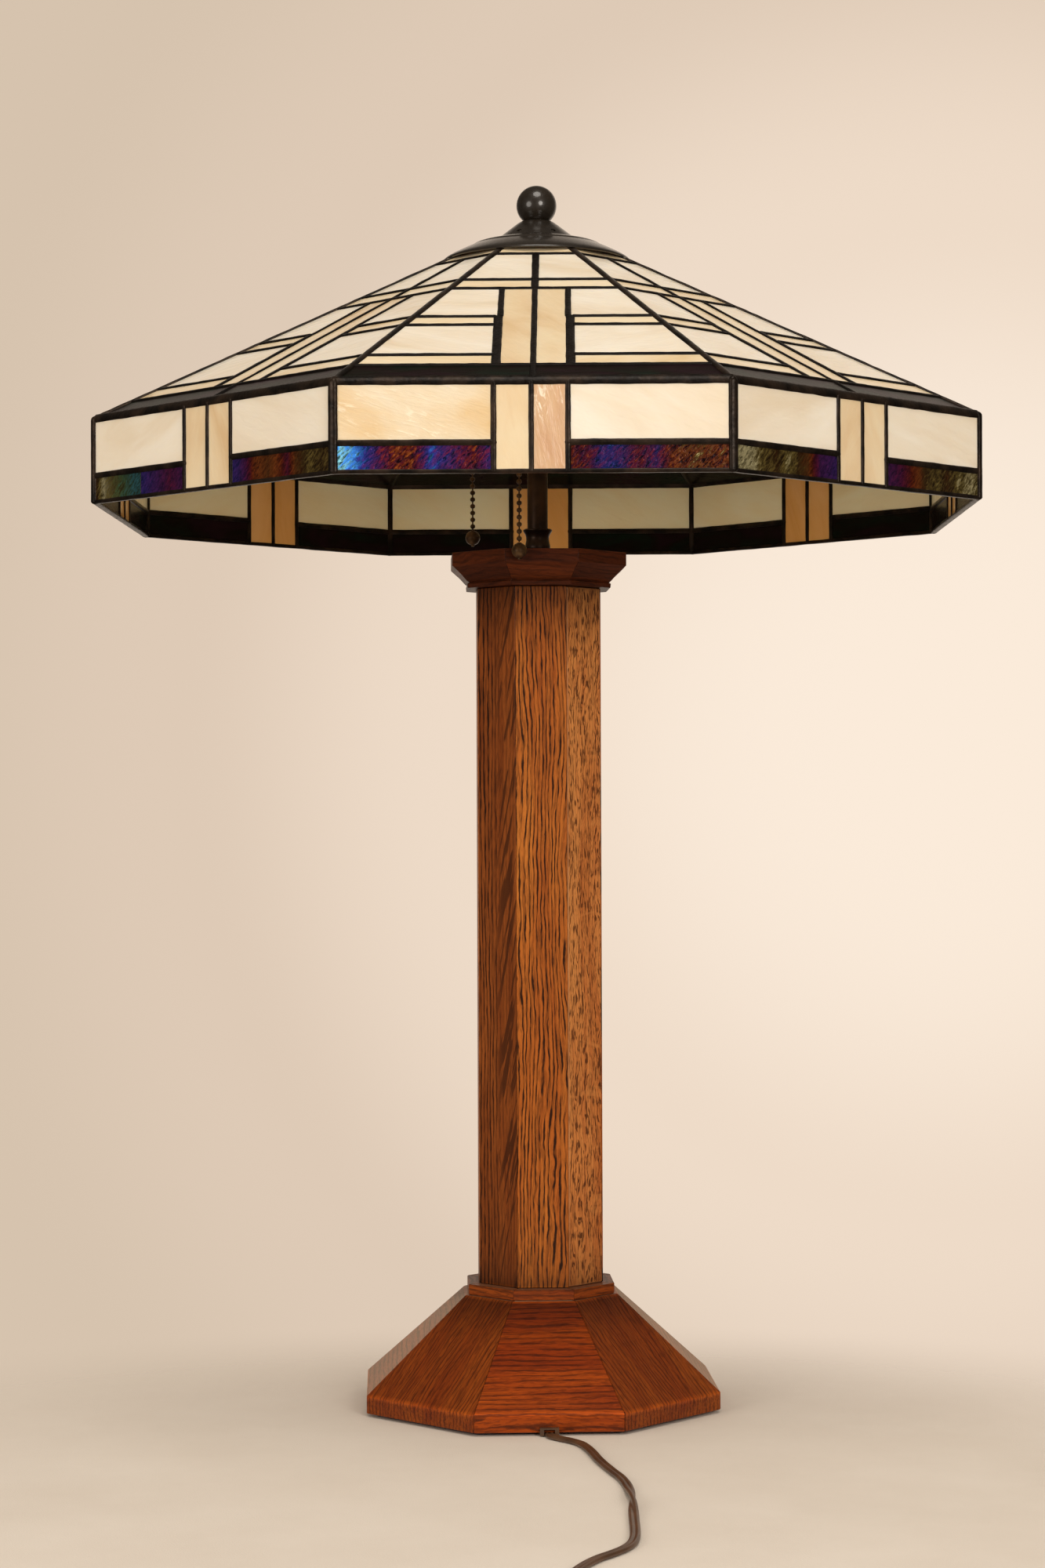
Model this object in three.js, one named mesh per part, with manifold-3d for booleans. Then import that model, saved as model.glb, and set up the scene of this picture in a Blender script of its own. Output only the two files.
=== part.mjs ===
// A stained glass table lamp: an eight-sided leaded shade on a hollow oak column and a sloping oak base.
// Millimetres, +Z up. The origin is on the lamp's axis, on the surface it stands on, and -Y is the front.
import * as THREE from "three";
import { mergeVertices } from "three/addons/utils/BufferGeometryUtils.js";
import Module from "manifold-3d";

const wasm = await Module();
wasm.setup();

// Driving dimensions. An octagon is sized by its apothem, the distance from the axis to a flat side.
const SIDES = 8;
const GAP = 0.3; // clearance between pieces that touch
const TURN = (2 * Math.PI) / SIDES;
const HALF_SIDE = Math.tan(TURN / 2); // half a side's length over its apothem
const TO_CORNER = 1 / Math.cos(TURN / 2); // corner radius over apothem

const WOOD_TURN = THREE.MathUtils.degToRad(3.2); // how far the stand is turned under the shade
const FELT = { apothem: 108, top: 2 };
const BASE = { apothem: 115, bandTop: 13.5, topApothem: 50, top: 74, board: 19 };
const WEIGHT = { inner: 12, outer: 84, bottom: 2.3, top: 12.3, chamfer: 1.5 };
const BUSHING = { width: 9.5, height: 4.4, length: 18, y: -106.4, z: 3 };
const PLINTH = { apothem: 48, top: 81 };
const COLUMN = { apothem: 40.7, wall: 12.7, top: 539.2 };
const CAP = { neckApothem: 47.5, neckTop: 543.6, apothem: 57.4, slopeTop: 554, top: 562.4 };

const PIPE = { outer: 4.85, bore: 3.2, clearance: 5.2 }; // lamp pipe, and the holes it passes through
const NUT = { flange: 16, flangeHeight: 2, hexagon: 10.5, height: 8 };
const STEM = { outer: 6.8, bore: 5.3, pipeTop: 660, riserTop: 794, collar: 9 };
const CLUSTER_Z = 666; // height of the two lampholders' axes
const CLUSTER_ANGLE = THREE.MathUtils.degToRad(106.7); // direction of lampholder 1 about the axis
const SOCKET = { start: 24, length: 50, radius: 18.5, seat: 16 };
const SPOUT = { along: 58.1, out: 29.2, radius: 3.4, bore: 2.2, drop: 12, boreTop: 2 };
const BULB = { start: 41, wall: 1.5 };

const SHADE = { apothem: 277.5, bottom: 587.7, eave: 639.2, slope: 0.5248, topApothem: 46 };
const GLASS = 3;
const CAME = { post: 2.8, eave: 2.3, hip: 1.5, rim: 1.3, ring: 1.5 };
const WHEEL = { thickness: 2, hub: 12, rim: 4, spoke: 7, drop: 1, rimGap: 2.2 };
const VENT = { count: 6, radius: 1.7, out: 22.6, z: 776.1, tilt: 0.66 };
const FINIAL = { radius: 13.4, centre: 795.9, bottom: 785.6, neck: 8.6, holeTop: 796 };

const BALL_CHAIN = { bead: 1.6, pitch: 4.6, link: 0.55, top: 1 }; // top is above the lampholders' axes
const CHAIN_BEADS = [18, 22];
const PULL_BALL = 5.2; // half the pull ball's height

const CORD = { width: 6, thickness: 3, height: 1.6 };
// The lead's route over the table, from the bushing in the base to the coil, as [x, y].
const CORD_ROUTE = [
  [6.5, -118.8], [8.6, -124.5], [13.4, -130.5], [20, -137.2], [26, -146], [30.4, -160],
  [33.6, -175], [36.4, -191], [40.4, -209], [45, -227], [49, -242], [51.6, -257],
  [53.2, -274], [53.9, -291], [54.2, -312], [54.3, -332], [54.3, -352], [54.3, -371],
  [53.8, -388], [51.8, -403], [47.4, -415], [41, -425.3], [34, -435], [28.2, -446],
  [23, -459], [18.6, -474], [14.4, -490], [10.4, -508], [7.2, -526], [5.3, -544],
  [4.7, -559.6],
];
const COIL = { x: 45, y: -560, radius: 34, band: 20, bottom: 0.1, height: 7.4, tail: 34, tailHeight: 5.2 };
const PLUG = { length: 27, width: 19, height: 13, neck: 7.2, taper: 9 };
const BLADE = { length: 16, thickness: 1.5, width: 6.3, apart: 12.7 };

// Colours of the materials.
const OAK = { color: 0x8a4518, roughness: 0.45, metalness: 0 };
const BRONZE = { color: 0x2e2620, roughness: 0.4, metalness: 0.8 };
const LEAD = { color: 0x2b241f, roughness: 0.45, metalness: 0.7 };
const ROOF_GLASS = { color: 0xefe6d2, roughness: 0.15, metalness: 0 };
const SKIRT_GLASS = { color: 0xf0e0bd, roughness: 0.15, metalness: 0 };
const IRON = { color: 0x3a3a3c, roughness: 0.7, metalness: 0.7 };
const BRASS = { color: 0xb0a070, roughness: 0.35, metalness: 0.9 };
const FELT_CLOTH = { color: 0x1d2a22, roughness: 0.95, metalness: 0 };
const BULB_GLASS = { color: 0xf4f1ea, roughness: 0.3, metalness: 0 };
const BROWN_PLASTIC = { color: 0x4a3222, roughness: 0.5, metalness: 0 };

const lamp = new THREE.Group();
const stand = new THREE.Group();
stand.rotation.z = WOOD_TURN;
lamp.add(stand);

function addMesh(parent, name, geometry, look) {
  const mesh = new THREE.Mesh(geometry, new THREE.MeshStandardMaterial(look));
  mesh.name = name;
  parent.add(mesh);
  return mesh;
}

// Booleans: a closed geometry as a solid, and a solid as a geometry.
function solidOf(geometry) {
  const bare = geometry.clone();
  bare.deleteAttribute("normal");
  bare.deleteAttribute("uv");
  const merged = mergeVertices(bare, 1e-4);
  return new wasm.Manifold(
    new wasm.Mesh({
      numProp: 3,
      vertProperties: merged.attributes.position.array,
      triVerts: new Uint32Array(merged.index.array),
    }),
  );
}

function geometryOf(solid) {
  const mesh = solid.getMesh();
  const geometry = new THREE.BufferGeometry();
  geometry.setAttribute("position", new THREE.BufferAttribute(mesh.vertProperties, 3));
  geometry.setIndex(new THREE.BufferAttribute(mesh.triVerts, 1));
  return geometry;
}

const joined = (solids) => solids.reduce((all, solid) => all.add(solid));

// A shape turned about Z from [radius, z] points, which run up the outside.
function turned(profile, segments = 24) {
  const points = profile.map(([r, z]) => new THREE.Vector2(r, z));
  if (profile[0][0] > 0) points.push(points[0].clone());
  return new THREE.LatheGeometry(points, segments).rotateX(Math.PI / 2);
}

// The same from [apothem, z] points, with a flat side towards each axis.
function octagonal(profile) {
  const points = profile.map(([a, z]) => new THREE.Vector2(a * TO_CORNER, z));
  if (profile[0][0] > 0) points.push(points[0].clone());
  return new THREE.LatheGeometry(points, SIDES, TURN / 2).rotateX(Math.PI / 2);
}

// One of eight mitred boards: an [apothem, z] outline between the two mitre planes, facing +X.
function mitredBoard(outline) {
  const shape = new THREE.Shape(outline.map(([a, z]) => new THREE.Vector2(a, z)));
  const geometry = new THREE.ExtrudeGeometry(shape, { depth: 1, steps: 1, bevelEnabled: false });
  const position = geometry.attributes.position;
  for (let i = 0; i < position.count; i++) {
    const apothem = position.getX(i);
    const side = position.getZ(i) > 0.5 ? -1 : 1;
    position.setXYZ(i, apothem, side * (apothem * HALF_SIDE - GAP / 2), position.getY(i));
  }
  return geometry;
}

// A round bar between two points.
function bar(from, to, radius, sides = 8) {
  const along = new THREE.Vector3().subVectors(to, from);
  const geometry = new THREE.CylinderGeometry(radius, radius, along.length(), sides);
  const up = new THREE.Vector3(0, 1, 0);
  geometry.applyQuaternion(new THREE.Quaternion().setFromUnitVectors(up, along.clone().normalize()));
  const middle = new THREE.Vector3().addVectors(from, to).multiplyScalar(0.5);
  return geometry.translate(middle.x, middle.y, middle.z);
}

// Angle of side number i about Z: side 0 faces the front, and they go round anticlockwise from above.
const sideAngle = (i) => i * TURN - Math.PI / 2;
const cornerPoint = (apothem, z, i) =>
  new THREE.Vector3(
    apothem * TO_CORNER * Math.cos(sideAngle(i) + TURN / 2),
    apothem * TO_CORNER * Math.sin(sideAngle(i) + TURN / 2),
    z,
  );

// The oak base: eight mitred boards leaning in under a plinth, over an iron weight and a felt pad.
function buildBase() {
  const rise = (BASE.top - BASE.bandTop) / (BASE.apothem - BASE.topApothem);
  const across = BASE.board / Math.sin(Math.atan(rise)); // the board's thickness measured level
  const innerBottom = BASE.apothem - across + (BASE.bandTop - FELT.top) / rise;
  const outline = [
    [BASE.apothem, FELT.top + GAP / 2],
    [BASE.apothem, BASE.bandTop],
    [BASE.topApothem, BASE.top],
    [BASE.topApothem - across, BASE.top],
    [innerBottom, FELT.top + GAP / 2],
  ].reverse();
  const cordSlot = new THREE.BoxGeometry(40, BUSHING.width + 0.7, 8).translate(BASE.apothem, 0, 1.8);
  for (let i = 0; i < SIDES; i++) {
    const board = mitredBoard(outline);
    const geometry = i === 0 ? geometryOf(solidOf(board).subtract(solidOf(cordSlot))) : board;
    addMesh(stand, `base_board_${i + 1}`, geometry, OAK).rotation.z = sideAngle(i);
  }
  const plinth = octagonal([
    [PIPE.clearance, BASE.top + GAP],
    [PLINTH.apothem, BASE.top + GAP],
    [PLINTH.apothem, PLINTH.top],
    [PIPE.clearance, PLINTH.top],
  ]);
  addMesh(stand, "base_plinth", plinth, OAK);
  const pad = octagonal([
    [0, 0],
    [FELT.apothem, 0],
    [FELT.apothem, FELT.top - GAP / 2],
    [0, FELT.top - GAP / 2],
  ]);
  const notch = new THREE.BoxGeometry(16, 30, 8).translate(0, -FELT.apothem - 4, 0.3);
  addMesh(stand, "felt_pad", geometryOf(solidOf(pad).subtract(solidOf(notch))), FELT_CLOTH);
  const weight = turned([
    [WEIGHT.inner, WEIGHT.bottom],
    [WEIGHT.outer, WEIGHT.bottom],
    [WEIGHT.outer, WEIGHT.top - WEIGHT.chamfer],
    [WEIGHT.outer - WEIGHT.chamfer, WEIGHT.top],
    [WEIGHT.inner, WEIGHT.top],
  ]);
  addMesh(stand, "base_weight", weight, IRON);
  const sleeve = new THREE.BoxGeometry(BUSHING.width, BUSHING.length, BUSHING.height);
  const collar = new THREE.BoxGeometry(12, 2.6, 5).translate(0, -BUSHING.length / 2 - 1.3, 0.1);
  const bore = new THREE.BoxGeometry(CORD.width + 0.8, 40, CORD.thickness + 0.6).translate(0, 0, -0.35);
  const bushing = solidOf(sleeve).add(solidOf(collar)).subtract(solidOf(bore));
  addMesh(stand, "cord_bushing", geometryOf(bushing), BROWN_PLASTIC).position.set(0, BUSHING.y, BUSHING.z);
}

// The hollow column of eight staves, and the moulded cap on it.
function buildColumn() {
  const stave = [
    [COLUMN.apothem, PLINTH.top + GAP],
    [COLUMN.apothem, COLUMN.top],
    [COLUMN.apothem - COLUMN.wall, COLUMN.top],
    [COLUMN.apothem - COLUMN.wall, PLINTH.top + GAP],
  ].reverse();
  for (let i = 0; i < SIDES; i++) {
    addMesh(stand, `column_stave_${i + 1}`, mitredBoard(stave), OAK).rotation.z = sideAngle(i);
  }
  const cap = octagonal([
    [PIPE.clearance, COLUMN.top + GAP],
    [CAP.neckApothem, COLUMN.top + GAP],
    [CAP.neckApothem, CAP.neckTop],
    [CAP.apothem, CAP.slopeTop],
    [CAP.apothem, CAP.top],
    [PIPE.clearance, CAP.top],
  ]);
  addMesh(stand, "column_cap", cap, OAK);
}

// A solid rod about Z.
const rod = (radius, bottom, top, segments) =>
  turned([[0, bottom], [radius, bottom], [radius, top], [0, top]], segments);

// A pipe about Z, with any extra outline between its ends.
const pipe = (bottom, top, extra = []) =>
  turned([[PIPE.bore, bottom], [PIPE.outer, bottom], ...extra, [PIPE.outer, top], [PIPE.bore, top]]);

// The pipe that clamps the stand together, its nut, and the bronzed fittings above the column.
function buildStem() {
  const nutTop = BASE.top;
  const nutBottom = nutTop - NUT.height;
  addMesh(lamp, "lamp_pipe", pipe(nutBottom - 6, STEM.pipeTop), BRASS);
  const flange = solidOf(rod(NUT.flange, nutTop - NUT.flangeHeight, nutTop));
  const hexagon = solidOf(rod(NUT.hexagon, nutBottom, nutTop - 1, 6));
  const thread = solidOf(rod(PIPE.clearance, nutBottom - 9, nutTop + 9));
  addMesh(lamp, "pipe_nut", geometryOf(flange.add(hexagon).subtract(thread)), BRASS);

  const cupBottom = CAP.top + GAP;
  const cup = turned([
    [STEM.outer + GAP, cupBottom],
    [9, cupBottom],
    [9, cupBottom + 1.2],
    [8.1, cupBottom + 3],
    [8.2, cupBottom + 6],
    [7.6, cupBottom + 9.5],
    [7.8, cupBottom + 12.5],
    [9.1, cupBottom + 15.6],
    [9.2, cupBottom + 17.2],
    [STEM.outer + GAP, cupBottom + 17.2],
  ]);
  addMesh(lamp, "stem_cup", cup, BRONZE);
  const tube = turned([
    [STEM.bore, cupBottom],
    [STEM.outer, cupBottom],
    [STEM.outer, CLUSTER_Z - 20.3],
    [STEM.bore, CLUSTER_Z - 20.3],
  ]);
  addMesh(lamp, "stem_tube", tube, BRONZE);

  const hub = turned([
    [PIPE.clearance, CLUSTER_Z - 20],
    [8, CLUSTER_Z - 20],
    [11, CLUSTER_Z - 15],
    [15, CLUSTER_Z - 9],
    [16.5, CLUSTER_Z],
    [14, CLUSTER_Z + 9],
    [9.5, CLUSTER_Z + 17],
    [7.5, CLUSTER_Z + 23],
    [PIPE.clearance, CLUSTER_Z + 23],
  ]);
  const reach = new THREE.Vector3(SOCKET.start - GAP, 0, 0);
  const arms = bar(reach.clone().negate(), reach, 6, 12).rotateZ(CLUSTER_ANGLE).translate(0, 0, CLUSTER_Z);
  const bore = rod(PIPE.clearance, CLUSTER_Z - 30, CLUSTER_Z + 30);
  const body = solidOf(hub).add(solidOf(arms)).subtract(solidOf(bore));
  addMesh(lamp, "lampholder_cluster", geometryOf(body), BRONZE);
  const shoulder = wheelTop() - WHEEL.thickness - 0.4; // top of the collar that carries the shade's wheel
  const riser = pipe(CLUSTER_Z + 6, STEM.riserTop, [
    [PIPE.outer, shoulder - 6],
    [STEM.collar, shoulder - 5],
    [STEM.collar, shoulder],
    [PIPE.outer, shoulder],
  ]);
  addMesh(lamp, "riser_pipe", riser, BRONZE);
}

// A lampholder pointing along +X from the cluster, with the chain's spout on its left (1) or right (-1).
function lampholder(side) {
  const { start, length, radius, seat } = SOCKET;
  const shell = turned([
    [0, 0],
    [8, 0],
    [14.5, 4],
    [radius - 1, 11],
    [radius, 17],
    [radius, length - 2],
    [radius + 0.8, length],
    [radius - 2.2, length],
    [radius - 2.2, seat],
    [0, seat],
  ]).rotateY(Math.PI / 2).translate(start, 0, 0);
  const root = new THREE.Vector3(SPOUT.along, side * (radius - 1), 0);
  const tip = new THREE.Vector3(SPOUT.along, side * SPOUT.out, 0);
  const mouth = tip.clone().setZ(-SPOUT.drop);
  const elbow = new THREE.SphereGeometry(SPOUT.radius, 10, 8).translate(tip.x, tip.y, 0);
  const spout = [bar(root, tip, SPOUT.radius * 0.85), bar(tip, mouth, SPOUT.radius), elbow];
  const bore = bar(mouth.clone().setZ(-SPOUT.drop - 5), tip.clone().setZ(SPOUT.boreTop), SPOUT.bore);
  return geometryOf(joined([shell, ...spout].map(solidOf)).subtract(solidOf(bore)));
}

// A hollow frosted bulb with its screw base, along +X; the base's end is open.
function bulb() {
  const outline = [
    [5, 0], [9, 3], [12.6, 5.5], [13, 26], [14.6, 31], [19, 43],
    [26, 58], [29.4, 71], [29.6, 80], [26.5, 92], [15, 105], [0, 109],
  ];
  const inside = outline.slice(1).map(([r, z]) => [Math.max(r - BULB.wall, 0), r === 0 ? z - BULB.wall : z]);
  const points = [...outline.reverse(), [5, BULB.wall], ...inside].map(([r, z]) => new THREE.Vector2(r, z));
  const glass = new THREE.LatheGeometry(points.reverse(), 18).rotateX(Math.PI / 2).rotateY(Math.PI / 2);
  return glass.translate(BULB.start, 0, 0);
}

// A length of ball chain hanging from z = 0.
function ballChain(beads) {
  const { bead, pitch, link } = BALL_CHAIN;
  const beadOutline = [[link, 0.8], [bead, 1.8], [bead, 2.8], [link, 3.8]];
  const outline = [[0, -beads * pitch], [link, -beads * pitch]];
  for (let i = beads; i > 0; i--) {
    outline.push(...beadOutline.map(([r, z]) => [r, z - i * pitch]));
  }
  outline.push([link, 0], [0, 0]);
  return turned(outline, 8);
}

function buildLights() {
  const ballProfile = [
    [0, -6], [1.1, -5.8], [1.3, -4.9], [3.2, -3.9], [4.8, -1.5],
    [5, 0.4], [4.4, 2.5], [2.6, 4.4], [0, PULL_BALL],
  ];
  CHAIN_BEADS.forEach((beads, i) => {
    const side = i === 0 ? 1 : -1;
    const arm = new THREE.Group();
    arm.position.z = CLUSTER_Z;
    arm.rotation.z = CLUSTER_ANGLE + i * Math.PI;
    lamp.add(arm);
    addMesh(arm, `lampholder_${i + 1}`, lampholder(side), BRONZE);
    addMesh(arm, `bulb_${i + 1}`, bulb(), BULB_GLASS);
    const hang = new THREE.Group();
    hang.position.set(SPOUT.along, side * SPOUT.out, BALL_CHAIN.top);
    arm.add(hang);
    addMesh(hang, `pull_chain_${i + 1}`, ballChain(beads), BRONZE);
    const ball = addMesh(hang, `pull_ball_${i + 1}`, turned(ballProfile, 12), BRONZE);
    ball.position.z = -beads * BALL_CHAIN.pitch - GAP - PULL_BALL;
  });
}

// Height of the roof's middle surface at an apothem, and of the wheel in its opening.
function roofHeight(apothem) {
  return SHADE.eave + (SHADE.apothem - apothem) * SHADE.slope;
}

function wheelTop() {
  return roofHeight(SHADE.topApothem) - WHEEL.drop;
}

// The leaded shade: eight roof panels, eight upright skirt panels, and the came that frames them.
function buildShade() {
  const { apothem, bottom, eave, slope, topApothem } = SHADE;
  const pitch = Math.atan(slope);
  const slant = (apothem - topApothem) / Math.cos(pitch);
  const eaveEdge = 3.4; // glass edge to the eave's centre line, up the slope
  const halfWidth = (s) => (apothem - s * Math.cos(pitch)) * HALF_SIDE - 3;
  const pane = new THREE.Shape([
    new THREE.Vector2(-halfWidth(eaveEdge), eaveEdge),
    new THREE.Vector2(halfWidth(eaveEdge), eaveEdge),
    new THREE.Vector2(halfWidth(slant - 2.4), slant - 2.4),
    new THREE.Vector2(-halfWidth(slant - 2.4), slant - 2.4),
  ]);
  const skirtTop = eave - 3;
  const skirtBottom = bottom + 1.8;
  for (let i = 0; i < SIDES; i++) {
    const side = new THREE.Group();
    side.rotation.z = i * TURN;
    lamp.add(side);
    const roof = new THREE.ExtrudeGeometry(pane, { depth: GLASS, steps: 1, bevelEnabled: false });
    roof.translate(0, 0, -GLASS / 2).rotateX(pitch).translate(0, -apothem, eave);
    addMesh(side, `roof_panel_${i + 1}`, roof, ROOF_GLASS);
    const skirt = new THREE.BoxGeometry(2 * (apothem * HALF_SIDE - 3.3), GLASS, skirtTop - skirtBottom);
    skirt.translate(0, -apothem, (skirtTop + skirtBottom) / 2);
    addMesh(side, `skirt_panel_${i + 1}`, skirt, SKIRT_GLASS);
  }
  const bars = [];
  const topHeight = roofHeight(topApothem);
  for (let i = 0; i < SIDES; i++) {
    const eaveCorner = cornerPoint(apothem, eave, i);
    const rimCorner = cornerPoint(apothem, bottom, i);
    const ringCorner = cornerPoint(topApothem, topHeight, i);
    bars.push(bar(eaveCorner, cornerPoint(apothem, eave, i + 1), CAME.eave));
    bars.push(bar(rimCorner, cornerPoint(apothem, bottom, i + 1), CAME.rim));
    bars.push(bar(ringCorner, cornerPoint(topApothem, topHeight, i + 1), CAME.ring));
    bars.push(bar(rimCorner, eaveCorner, CAME.post));
    bars.push(bar(eaveCorner, ringCorner, CAME.hip));
    bars.push(new THREE.IcosahedronGeometry(CAME.post, 1).translate(...eaveCorner.toArray()));
  }
  addMesh(lamp, "shade_came", geometryOf(joined(bars.map(solidOf))), LEAD);
}

// The wheel soldered in the roof's opening, the vented cap over it, and the ball finial that clamps both.
function buildTop() {
  const top = wheelTop();
  const bottom = top - WHEEL.thickness;
  const reach = SHADE.topApothem - CAME.ring - WHEEL.rimGap;
  const inner = reach - WHEEL.rim;
  const rim = octagonal([[inner, bottom], [reach, bottom], [reach, top], [inner, top]]);
  const spokes = [0, Math.PI / 2].map((angle) => {
    const spoke = new THREE.BoxGeometry(2 * reach - 2, WHEEL.spoke, WHEEL.thickness);
    return spoke.rotateZ(angle).translate(0, 0, (top + bottom) / 2);
  });
  const hole = rod(PIPE.clearance, bottom - 9, top + 9);
  const wheel = joined([rod(WHEEL.hub, bottom, top), rim, ...spokes].map(solidOf)).subtract(solidOf(hole));
  addMesh(lamp, "shade_wheel", geometryOf(wheel), BRONZE);

  const outside = [
    [61.4, 757.2], [62.6, 757.3], [62.8, 758], [62, 759], [59.4, 760.7], [55, 763], [50, 765.4],
    [45.6, 767.3], [44, 768], [43.2, 768.8], [41.5, 769.6], [36, 771], [30.5, 772.1], [26.6, 773],
    [25.4, 773.9], [21, 777.4], [16, 781.3], [12.6, 783.9], [10, 785.3], [PIPE.clearance, 785.3],
  ];
  const inside = [
    [PIPE.clearance, 784.2], [8.6, 784.1], [10.6, 783.3], [14.8, 779.9], [19.8, 776], [24.2, 772.3],
    [26.4, 771.6], [30.5, 770.8], [36, 769.7], [41.5, 768.2], [43.8, 766.7], [49.4, 764.2],
    [54.4, 761.8], [58.6, 759.6], [61, 758],
  ];
  let cap = solidOf(turned([...outside, ...inside], 32));
  for (let i = 0; i < VENT.count; i++) {
    const vent = new THREE.CylinderGeometry(VENT.radius, VENT.radius, 16, 8).rotateX(Math.PI / 2);
    vent.rotateY(VENT.tilt).translate(VENT.out, 0, VENT.z);
    vent.rotateZ((i * 2 * Math.PI) / VENT.count);
    cap = cap.subtract(solidOf(vent));
  }
  addMesh(lamp, "shade_cap", geometryOf(cap), BRONZE);

  const { radius, centre } = FINIAL;
  const ball = [];
  for (let degrees = -50; degrees < 90; degrees += 14) {
    const angle = THREE.MathUtils.degToRad(degrees);
    ball.push([radius * Math.cos(angle), centre + radius * Math.sin(angle)]);
  }
  const ballBody = turned([[0, FINIAL.bottom], [FINIAL.neck, FINIAL.bottom], ...ball, [0, centre + radius]]);
  const socket = rod(PIPE.clearance, FINIAL.bottom - 6, FINIAL.holeTop);
  addMesh(lamp, "finial", geometryOf(solidOf(ballBody).subtract(solidOf(socket))), BRONZE);
}

// The lead on the table: the run from the base, the coil with its short tail, and the plug.
function buildCord() {
  const oval = new THREE.Shape();
  oval.absellipse(0, 0, CORD.thickness / 2, CORD.width / 2, 0, 2 * Math.PI);
  const section = new THREE.Shape(oval.getPoints(8).slice(0, 8));
  const route = new THREE.CatmullRomCurve3(CORD_ROUTE.map(([x, y]) => new THREE.Vector3(x, y, CORD.height)));
  const run = new THREE.ExtrudeGeometry(section, { steps: 30, extrudePath: route, bevelEnabled: false });
  addMesh(lamp, "cord", run, BROWN_PLASTIC);

  const inner = COIL.radius - COIL.band / 2;
  const outer = COIL.radius + COIL.band / 2;
  const outerTurn = outer - CORD.width / 2 - 0.6; // radius of the outermost turn's centre line
  const ring = turned([
    [inner, COIL.bottom],
    [outer - 1, COIL.bottom],
    [outer, COIL.bottom + 1],
    [outer, COIL.height - 1],
    [outer - 1, COIL.height],
    [inner, COIL.height],
  ], 32);
  const entry = new THREE.BoxGeometry(8.5, 30, 5).translate(-outerTurn + 0.3, 15, 1.4);
  const plugHeight = PLUG.height / 2 + COIL.bottom;
  const tailEnd = new THREE.Vector3(COIL.tail, -outerTurn, plugHeight);
  const tail = bar(new THREE.Vector3(0, -outerTurn, COIL.tailHeight), tailEnd, 2.4);
  const coil = solidOf(ring).subtract(solidOf(entry)).add(solidOf(tail));
  addMesh(lamp, "cord_coil", geometryOf(coil), BROWN_PLASTIC).position.set(COIL.x, COIL.y, 0);

  const plug = new THREE.Group();
  plug.position.set(COIL.x + COIL.tail + GAP + 0.2, COIL.y - outerTurn, plugHeight);
  plug.rotation.z = Math.PI;
  lamp.add(plug);
  const half = PLUG.width / 2;
  const body = new THREE.Shape([
    new THREE.Vector2(-PLUG.taper, 2.5 - half),
    new THREE.Vector2(2 - PLUG.length, -half),
    new THREE.Vector2(-PLUG.length, -half),
    new THREE.Vector2(-PLUG.length, half),
    new THREE.Vector2(2 - PLUG.length, half),
    new THREE.Vector2(-PLUG.taper, half - 2.5),
    new THREE.Vector2(0, PLUG.neck / 2),
    new THREE.Vector2(0, -PLUG.neck / 2),
  ]);
  const shell = new THREE.ExtrudeGeometry(body, { depth: PLUG.height, steps: 1, bevelEnabled: false });
  addMesh(plug, "plug_body", shell.translate(0, 0, -PLUG.height / 2), BROWN_PLASTIC);
  [-1, 1].forEach((side, i) => {
    const blade = new THREE.BoxGeometry(BLADE.length, BLADE.thickness, BLADE.width);
    blade.translate(-PLUG.length - GAP - BLADE.length / 2, (side * BLADE.apart) / 2, 0);
    addMesh(plug, `plug_blade_${i + 1}`, blade, BRASS);
  });
}

buildBase();
buildColumn();
buildStem();
buildLights();
buildShade();
buildTop();
buildCord();

export default lamp;
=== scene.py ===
"""Looks of a leaded glass table lamp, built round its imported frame.

Shapes are worked out in millimetres and turned into metres as each mesh is made.
"""
import math
import random

import bmesh
import bpy
from mathutils import Matrix, Vector, noise


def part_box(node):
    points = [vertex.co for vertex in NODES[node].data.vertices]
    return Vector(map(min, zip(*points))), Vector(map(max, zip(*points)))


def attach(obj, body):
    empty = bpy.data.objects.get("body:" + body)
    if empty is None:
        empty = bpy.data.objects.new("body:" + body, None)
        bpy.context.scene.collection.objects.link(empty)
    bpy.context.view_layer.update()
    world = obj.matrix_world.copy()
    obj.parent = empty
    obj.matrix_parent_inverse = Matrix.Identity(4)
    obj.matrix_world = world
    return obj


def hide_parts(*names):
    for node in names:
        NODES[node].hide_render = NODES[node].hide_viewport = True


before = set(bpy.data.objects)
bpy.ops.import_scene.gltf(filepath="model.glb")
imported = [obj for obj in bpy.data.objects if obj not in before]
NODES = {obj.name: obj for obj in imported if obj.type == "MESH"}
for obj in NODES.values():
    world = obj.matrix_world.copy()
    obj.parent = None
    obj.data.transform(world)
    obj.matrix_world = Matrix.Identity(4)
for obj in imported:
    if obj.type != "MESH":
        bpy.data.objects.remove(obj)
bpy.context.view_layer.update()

MM = 0.001


def low(node):
    """A node's lowest corner in millimetres."""
    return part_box(node)[0] / MM


def high(node):
    """A node's highest corner in millimetres."""
    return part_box(node)[1] / MM


# ---------------------------------------------------------------- driving dimensions
SIDES = 8
TURN = 2 * math.pi / SIDES
HALF_SIDE = math.tan(TURN / 2)
TO_CORNER = 1 / math.cos(TURN / 2)
WOOD_TURN = math.radians(3.2)

GLASS = 3.0
SHADE_APOTHEM = high("skirt_panel_3").x - GLASS / 2
RIM_Z = low("skirt_panel_1").z - 1.8
EAVE_Z = high("skirt_panel_1").z + 3
ROOF_SLOPE = 0.5248
PITCH = math.atan(ROOF_SLOPE)
ROOF_SLANT = SHADE_APOTHEM / math.cos(PITCH)
RING_APOTHEM = 46.0

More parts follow.
